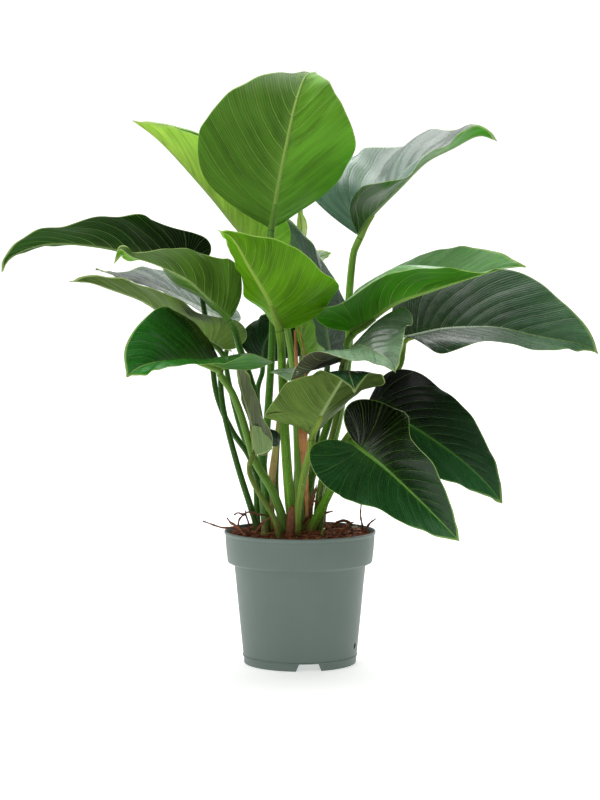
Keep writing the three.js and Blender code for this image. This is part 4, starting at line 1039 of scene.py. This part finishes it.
def make_pot():
    pot = new_object("pot_shell", *lathe(pot_section(), POT_SEGMENTS), [pot_material()])
    tool = new_object("cutter", *cutters(), [])
    outward(pot)
    outward(tool)
    cut = pot.modifiers.new("cut", "BOOLEAN")
    cut.operation = "DIFFERENCE"
    cut.object = tool
    cut.solver = "EXACT"
    graph = bpy.context.evaluated_depsgraph_get()
    whole, pot.data = pot.data, bpy.data.meshes.new_from_object(pot.evaluated_get(graph))
    pot.modifiers.clear()
    bpy.data.meshes.remove(whole)
    pot.data.name = pot.name
    bpy.data.objects.remove(tool)
    pot.data.polygons.foreach_set("use_smooth", [True] * len(pot.data.polygons))
    pot.data.set_sharp_from_angle(angle=math.radians(FLAT_ANGLE))
    settle(pot, "pot")


# Soil, in metres
SOIL_RINGS = 46
SOIL_SPOKES = 150
SOIL_EDGE = 0.1006
LUMP_WAVES = (210.0, 170.0)
LUMP_HEIGHT = 0.0012
CHIPS = 620
CHIP_REACH = 0.0975
CHIP_LENGTH = (0.004, 0.016)
FIBRES = 90
FIBRE_REACH = 0.1
PERLITE = (0.0757, 0.02, 0.1855)
PERLITE_SIZE = (0.009, 0.005)


def soil_height(x, y):
    reach = math.hypot(x, y) / RIM_RADIUS
    lumps = math.sin(x * LUMP_WAVES[0] + 1) * math.cos(y * LUMP_WAVES[1]) * LUMP_HEIGHT
    return SOIL_LEVEL + SOIL_CROWN * (1 - reach * reach) + lumps


def make_soil():
    """Root ball: pressed against the pot below, crumbly on top."""
    floor = FLOOR_LEVEL + FLOOR_THICKNESS + GAP
    section = [
        (0.0, floor),
        (body_radius(floor) - POT_WALL - GAP, floor),
        (WAIST_RADIUS - POT_WALL - GAP, COLLAR_FOOT - 0.001),
        (COLLAR_RADIUS - POT_WALL - 0.0024, COLLAR_FOOT + 0.002),
        (COLLAR_RADIUS - POT_WALL - GAP, COLLAR_FOOT + 0.0045),
        *((SOIL_EDGE * ring / SOIL_RINGS, SOIL_LEVEL) for ring in range(SOIL_RINGS, 0, -1)),
        (0.0, SOIL_LEVEL),
    ]
    points, faces = lathe(section, SOIL_SPOKES)
    lumps = random.Random(3)
    made = []
    for x, y, z in points:
        if z > SOIL_LEVEL - 0.001:
            edge = min(1.0, (SOIL_EDGE - math.hypot(x, y)) / 0.004)
            z = soil_height(x, y) - 0.0006 + lumps.uniform(-0.0009, 0.0007) * edge
        made.append((x, y, z))
    soil = new_object("soil_body", made, faces, [soil_material()])
    outward(soil)
    settle(soil, "soil")


BOX_FACES = ((0, 3, 2, 1), (4, 5, 6, 7), (0, 1, 5, 4), (1, 2, 6, 5), (2, 3, 7, 6), (3, 0, 4, 7))


def flake(rng, centre, size, heading, tilt, thick):
    """One crooked chip lying on the soil, as points and faces."""
    ahead = Vector((math.cos(heading), math.sin(heading), tilt)).normalized()
    side = Vector((-math.sin(heading), math.cos(heading), rng.uniform(-0.5, 0.5))).normalized()
    up = ahead.cross(side)
    long, wide = size
    points = []
    for end, narrow in ((-1, 1.0), (1, 0.75)):
        for edge, level in ((-1, -1), (1, -1), (1, 1), (-1, 1)):
            jitter = [rng.uniform(0.65, 1.15) for _ in range(3)]
            points.append(
                centre
                + ahead * (end * long / 2 * jitter[0])
                + side * (edge * wide / 2 * jitter[1] * narrow)
                + up * (level * thick / 2 * jitter[2])
            )
    return points, BOX_FACES


def make_chips():
    """Bark chips over the whole soil and one white flake."""
    rng = random.Random(11)
    chips, numbers = [], []
    for _ in range(CHIPS):
        reach = CHIP_REACH * math.sqrt(rng.random())
        turn = rng.uniform(0, 2 * math.pi)
        long = rng.uniform(*CHIP_LENGTH) * rng.uniform(0.5, 1.0)
        reach = min(reach, 0.1005 - long / 2)
        x, y = reach * math.cos(turn), reach * math.sin(turn)
        centre = Vector((x, y, soil_height(x, y) + rng.uniform(-0.0004, 0.0022)))
        wide = long * rng.uniform(0.16, 0.45)
        thick = rng.uniform(0.0008, 0.0022)
        heading, tilt = rng.uniform(0, math.pi), rng.uniform(-0.35, 0.35)
        chips.append(flake(rng, centre, (long, wide), heading, tilt, thick))
        numbers += [rng.random()] * 8
    chips.append(flake(rng, Vector(PERLITE), PERLITE_SIZE, 0.3, 0.1, 0.0034))
    numbers += [1.0] * 8
    piece = new_object("soil_chips", *gathered(chips), [chip_material()], smooth=False)
    outward(piece)
    give(piece, "chip", [(n, 0, 0) for n in numbers])
    settle(piece, "soil")


def strand(rng, start, heading, length, arch, sway, parts=7):
    """Path of a thin fibre that lies on the soil and bends to one side."""
    path = []
    for i in range(parts):
        t = i / (parts - 1)
        turn = heading + sway * t
        x = start[0] + length * t * math.cos(turn)
        y = start[1] + length * t * math.sin(turn)
        inside = FIBRE_REACH / max(FIBRE_REACH, math.hypot(x, y))
        x, y = x * inside, y * inside
        z = soil_height(x, y) + 0.0012 + arch * math.sin(math.pi * t) + rng.uniform(0, 0.0006)
        path.append((x, y, z))
    return path


def make_fibres():
    """Coir and thin roots between the chips, each a short tapered tube."""
    rng = random.Random(29)
    material = dry_material("fibre", "a0643a", "4a2414", 120.0, (0.7, 0.95), 0.0004)
    parts = []
    for i in range(FIBRES):
        reach = 0.085 * math.sqrt(rng.random())
        turn = rng.uniform(0, 2 * math.pi)
        start = (reach * math.cos(turn), reach * math.sin(turn))
        length = rng.uniform(0.012, 0.04)
        heading, arch, sway = (rng.uniform(*r) for r in ((0, 2 * math.pi), (0, 0.005), (-0.9, 0.9)))
        path = strand(rng, start, heading, length, arch, sway)
        thick = rng.uniform(0.0003, 0.0008)
        taper = lambda share, angle, r=thick: r * (1 - 0.6 * share)
        parts.append(swept(f"fibre_{i}", path, taper, material, sides=5, step=0.004))
    bpy.ops.object.select_all(action="DESELECT")
    for part in parts:
        part.select_set(True)
    bpy.context.view_layer.objects.active = parts[0]
    bpy.ops.object.join()
    parts[0].name = parts[0].data.name = "soil_fibres"
    settle(parts[0], "soil")


# Kinds of small parts: knots along them, their depth, ribs around them, sides and step in metres
KINDS = {
    "stub": (9.0, 0.1, 3, 16, 0.002),
    "dry": (7.0, 0.06, 4, 16, 0.004),
    "thin": (31.0, 0.16, 3, 10, 0.0015),
    "twig": (23.0, 0.18, 3, 10, 0.0015),
}
# Short stems, dry sheaths, thin roots and loose twigs: kind, name, node, skin, flatness, then in mm
# the radii and the path
SMALL_PARTS = (
    ("stub", "stem_left", "stem_left", "stem", 1, (7, 6.2, 3), ((-48, -40, 154), (-48, -40, 186),
     (-50, -41, 200))),
    ("stub", "stem_centre", "stem_centre", "stem", 1, (6, 4.8, 2.2), ((-16, -18, 154),
     (-16, -18, 190), (-17, -18, 214))),
    ("stub", "stem_right", "stem_right", "stem", 1, (5, 4.2, 2), ((31, -47, 154), (31, -47, 184),
     (33, -49, 192))),
    ("dry", "sheath_front", "sheath_front", "dark", 0.35, (6.2, 6.4, 6.4, 6.2, 5.6, 2.6),
     ((-14, -60, 154), (-14, -60, 182), (-10.5, -60, 225))),
    ("dry", "sheath_left", "sheath_left", "tan", 0.4, (2.8, 3.2, 4.4, 5.8, 4.6, 3, 2.2),
     ((-38, -8, 154), (-38, -8, 190), (-40, -8, 228), (-39, -8, 256), (-33, -10, 304),
     (-28, -12, 353))),
    ("dry", "sheath_tall", "sheath_tall", "orange", 0.25, (1.8, 2, 2.8, 4.2, 5.6, 6),
     ((10, -26, 154), (10, -26, 190), (8, -28, 250), (5, -28, 300), (3, -28, 344))),
    ("dry", "sheath_upper", "sheath_upper", "orange", 0.5, (2, 2, 2.2, 2.8, 2.6, 1.8),
     ((12, -8, 154), (12, -8, 190), (10, -9, 250), (4, -5, 350), (-4, -4, 402), (-6.5, -4, 461))),
    ("dry", "sheath_edge", "sheath_upper", "orange", 0.5, (1.4, 0.8), ((7.8, -10, 370),
     (6.2, -10, 424.4), (3.7, -8, 442.9), (0.4, -6, 455.9), (-5.2, -4, 473.7))),
    ("thin", "root_left", "root_left", "bark", 1, (1.8, 1), ((-66, -34, 168), (-76, -32, 186),
     (-90, -27, 191), (-108, -20, 190), (-134, -14, 198))),
    ("thin", "root_loop", "root_loop", "bark", 1, (1.6, 1), ((-84, 6, 168), (-86, 6, 184),
     (-84, 8, 198), (-76, 10, 204), (-72, 8, 195))),
    ("thin", "root_right", "root_right", "bark", 1, (1.7, 0.9), ((86, 10, 168), (87, 10, 186),
     (84, 9, 204), (85, 8, 219))),
    ("thin", "root_back", "root_back", "bark", 1, (1.6, 1), ((44, 30, 168), (46, 32, 186),
     (60, 34, 192), (78, 30, 186))),
    ("twig", "ring", "soil", "bark", 1, (1, 1.3, 1.4, 1.3, 0.8), ((-90.5, -30, 208.5),
     (-85, -30, 211.5), (-78, -30, 209.5), (-70, -30, 212.5), (-58, -30, 209.5), (-43, -30, 208))),
    ("twig", "fork", "soil", "bark", 1, (0.7, 1.2, 1.4), ((-75, -28, 214.5), (-73.5, -28, 205),
     (-70.5, -28, 197), (-69, -28, 182))),
    ("twig", "front", "soil", "bark", 1, (0.9, 1.7, 2, 1.5), ((-99, -60, 208), (-94, -64, 202),
     (-83, -68, 195.5), (-72, -70, 184))),
    ("twig", "short", "soil", "bark", 1, (0.9, 1.3, 1), ((-96, -50, 200), (-90, -50, 198.5),
     (-82, -50, 190))),
    ("twig", "across", "soil", "bark", 1, (1.8, 1.6, 1), ((-61, -66, 188), (-52, -66, 200),
     (-44, -66, 207), (-38, -66, 211))),
    ("twig", "right", "soil", "bark", 1, (1.7, 1.6, 1.2), ((4, -30, 196), (9, -30, 204),
     (19, -30, 208), (30, -30, 210), (45, -30, 214))),
    ("twig", "curl", "soil", "bark", 1, (1.3, 1.6, 1), ((12, -26, 205), (15, -26, 220),
     (19, -26, 227), (24, -26, 224), (30, -26, 212))),
    ("twig", "scrap", "soil", "dark", 0.4, (1.8, 2.9, 2.3, 0.5), ((13, -24, 212), (17, -24, 228),
     (20, -24, 238), (23, -24, 250))),
    ("twig", "edge", "soil", "bark", 1, (1.6, 1.7, 0.9), ((56, -40, 184), (62, -40, 192),
     (68, -40, 198), (74, -40, 200))),
    ("twig", "rim", "soil", "bark", 1, (1.7, 1.6, 0.8), ((86, -16, 178), (91, -16, 187),
     (97, -16, 196), (105, -16, 202))),
    ("twig", "back", "soil", "bark", 1, (1.6, 1.6, 1), ((46, 10, 186), (52, 10, 194),
     (64, 10, 196), (74, 10, 190))),
    ("twig", "low", "soil", "bark", 1, (1, 1.7, 1.6), ((33, -60, 203), (40, -62, 194),
     (47, -62, 184))),
)


def knotted(radii, knots, depth, ribs):
    """Radius along a twig: the given radii in turn, with small knots and ribs."""
    def radius_at(share, angle):
        plain = np.interp(share, np.linspace(0, 1, len(radii)), radii)
        bumps = np.sin(knots * share + 1.7) + 0.5 * np.sin(ribs * angle + 9 * share)
        return plain * (1 + depth * bumps)
    return radius_at


def make_small_parts():
    skins = {"stem": stalk_material("stem_skin", "7f8c4c", "b4b47a")}
    for name, *look in (
        ("sheath_dark", "92552a", "4a2410", 60.0, (0.55, 0.8), 0.0006),
        ("sheath_orange", "f0ac70", "b87440", 60.0, (0.55, 0.8), 0.0006),
        ("sheath_tan", "fbe0a0", "d09a58", 70.0, (0.5, 0.75), 0.0006, "bccb70"),
        ("root_bark", "9a5c34", "46241a", 200.0, (0.75, 0.95), 0.0005),
    ):
        skins[name.split("_")[1]] = dry_material(name, *look)
    for kind, name, node, skin, flat, radii, path in SMALL_PARTS:
        knots, depth, ribs, sides, step = KINDS[kind]
        radius_at = knotted(metres(radii), knots, 0 if name == "sheath_edge" else depth, ribs)
        piece = swept(f"{kind}_{name}", metres(path), radius_at, skins[skin], sides, step, flat)
        settle(piece, node)


# Studio, in metres
BACKDROP_WIDTH = 9.0
BACKDROP_FRONT = -5.0
BACKDROP_BACK = 3.2
BACKDROP_HEIGHT = 5.0
BACKDROP_BEND = 1.6
BACKDROP_END = 9.0
BACKDROP_STEP = 0.001
WHITE = (1.0, 1.0, 1.0, 1.0)
SKY = 0.14
# Place, aimed height, width, height and watts of each lamp
LAMPS = {
    "overhead": ((-0.3, 0.5, 2.3), 0.4, 2.0, 1.6, 46),
    "key": ((-1.7, -1.9, 1.9), 0.4, 1.3, 1.3, 22),
    "fill": ((2.2, -1.2, 1.2), 0.4, 1.4, 1.4, 6),
    "behind": ((1.0, 2.2, 1.7), 0.55, 1.6, 1.2, 14),
}


def placed(name, data, place):
    holder = bpy.data.objects.new(name, data)
    holder.location = place
    bpy.context.scene.collection.objects.link(holder)
    return holder


def make_studio():
    """Pale floor that curves up into a backdrop, soft lights and an even pale sky.

    The backdrop has no back side, so that it doesn't hide the plant from behind."""
    s = Shader("backdrop_paper")
    s.body = s.mix(s.noise(1.5, 2.0), colour("f4f4f3"), colour("fafaf9"))
    back = Value(s, s.node("ShaderNodeNewGeometry").outputs["Backfacing"])
    s.set(s.principled.inputs["Alpha"], back * -1.0 + 1.0)
    material = s.finish(0.9, Emission_Color=WHITE, Emission_Strength=0.5)
    start = BACKDROP_BACK - BACKDROP_BEND
    bend = arc((start, BACKDROP_BEND), BACKDROP_BEND, -90, 0, 24)
    for name, profile in (
        ("backdrop", [(BACKDROP_FRONT, 0.0), *bend, (BACKDROP_BACK, BACKDROP_HEIGHT)]),
        ("floor_behind", [(start, -BACKDROP_STEP), (BACKDROP_END, -BACKDROP_STEP)]),
    ):
        half = BACKDROP_WIDTH / 2
        points = [(x, y, z) for x in (-half, half) for y, z in profile]
        n = len(profile)
        faces = [(k, k + n, k + n + 1, k + 1) for k in range(n - 1)]
        new_object(name, points, faces, [material])
    world = bpy.data.worlds.new("studio")
    bpy.context.scene.world = world
    world.use_nodes = True
    shade = world.node_tree.nodes["Background"].inputs
    shade["Color"].default_value, shade["Strength"].default_value = WHITE, SKY
    for name, (place, aimed, width, height, watts) in LAMPS.items():
        light = bpy.data.lights.new(name, "AREA")
        light.shape = "RECTANGLE"
        light.size, light.size_y = width, height
        light.energy = watts
        aim = Vector((0.0, 0.0, aimed)) - Vector(place)
        placed(name, light, place).rotation_euler = aim.to_track_quat("-Z", "Y").to_euler()


def make_camera():
    lens = bpy.data.cameras.new("camera")
    lens.lens = CAMERA_LENS
    camera = placed("camera", lens, CAMERA_PLACE)
    camera.rotation_euler = (math.radians(90 - CAMERA_PITCH), 0.0, 0.0)
    bpy.context.scene.camera = camera


# Lobes of the rolled leaf: rows of points from top to bottom in mm, look, and whether glossy
LOBES = {
    "pale": (
        (
            ((-64.8, -74, 335.5), (-54.2, -81, 334), (-43.4, -84, 330.9)),
            ((-64.3, -73, 317.9), (-51.5, -80, 318.4), (-38.5, -86, 321)),
            ((-62.8, -72, 294.5), (-50.3, -78, 296.5), (-37.3, -84, 303.5)),
        ),
        ("76905a 76905a a9bd84", 0.1, 0.5, (0, 0, 0, 0)),
        False,
    ),
    "dark": (
        (
            ((-44.5, -83, 331.9), (-34.6, -86, 329.7), (-27.9, -80, 324.5)),
            ((-39.4, -85, 320.9), (-32.6, -89, 318.5), (-26.5, -80, 317.1)),
            ((-37.5, -81, 307.5), (-32.1, -84, 307.2), (-28.7, -79, 309.6)),
        ),
        ("14301c 14301c 33543a", 0.05, 0.4, (0, 0, 0, 0)),
        True,
    ),
}


def make_leaves():
    """Blades with their stalks, then the pale and the dark curled lobe of the rolled leaf."""
    for name, leaf in LEAVES.items():
        look = LOOKS[name]
        rib = Rib(leaf)
        sides = [leaf_material(f"{name}_{k}", look, k == "upper") for k in ("upper", "under")]
        blade(name, leaf, rib, sides)
        stalk(name, leaf, rib, look[0].split()[3:])
    for name, (rows, look, upper) in LOBES.items():
        skin = leaf_material(f"lobe_{name}", look, upper)
        lobe(f"lobe_{name}", metres(rows), skin, "blade_rolled")


make_camera()
make_studio()
make_leaves()
make_pot()
make_soil()
make_chips()
make_fibres()
make_small_parts()
bpy.context.scene.view_settings.view_transform = "Standard"
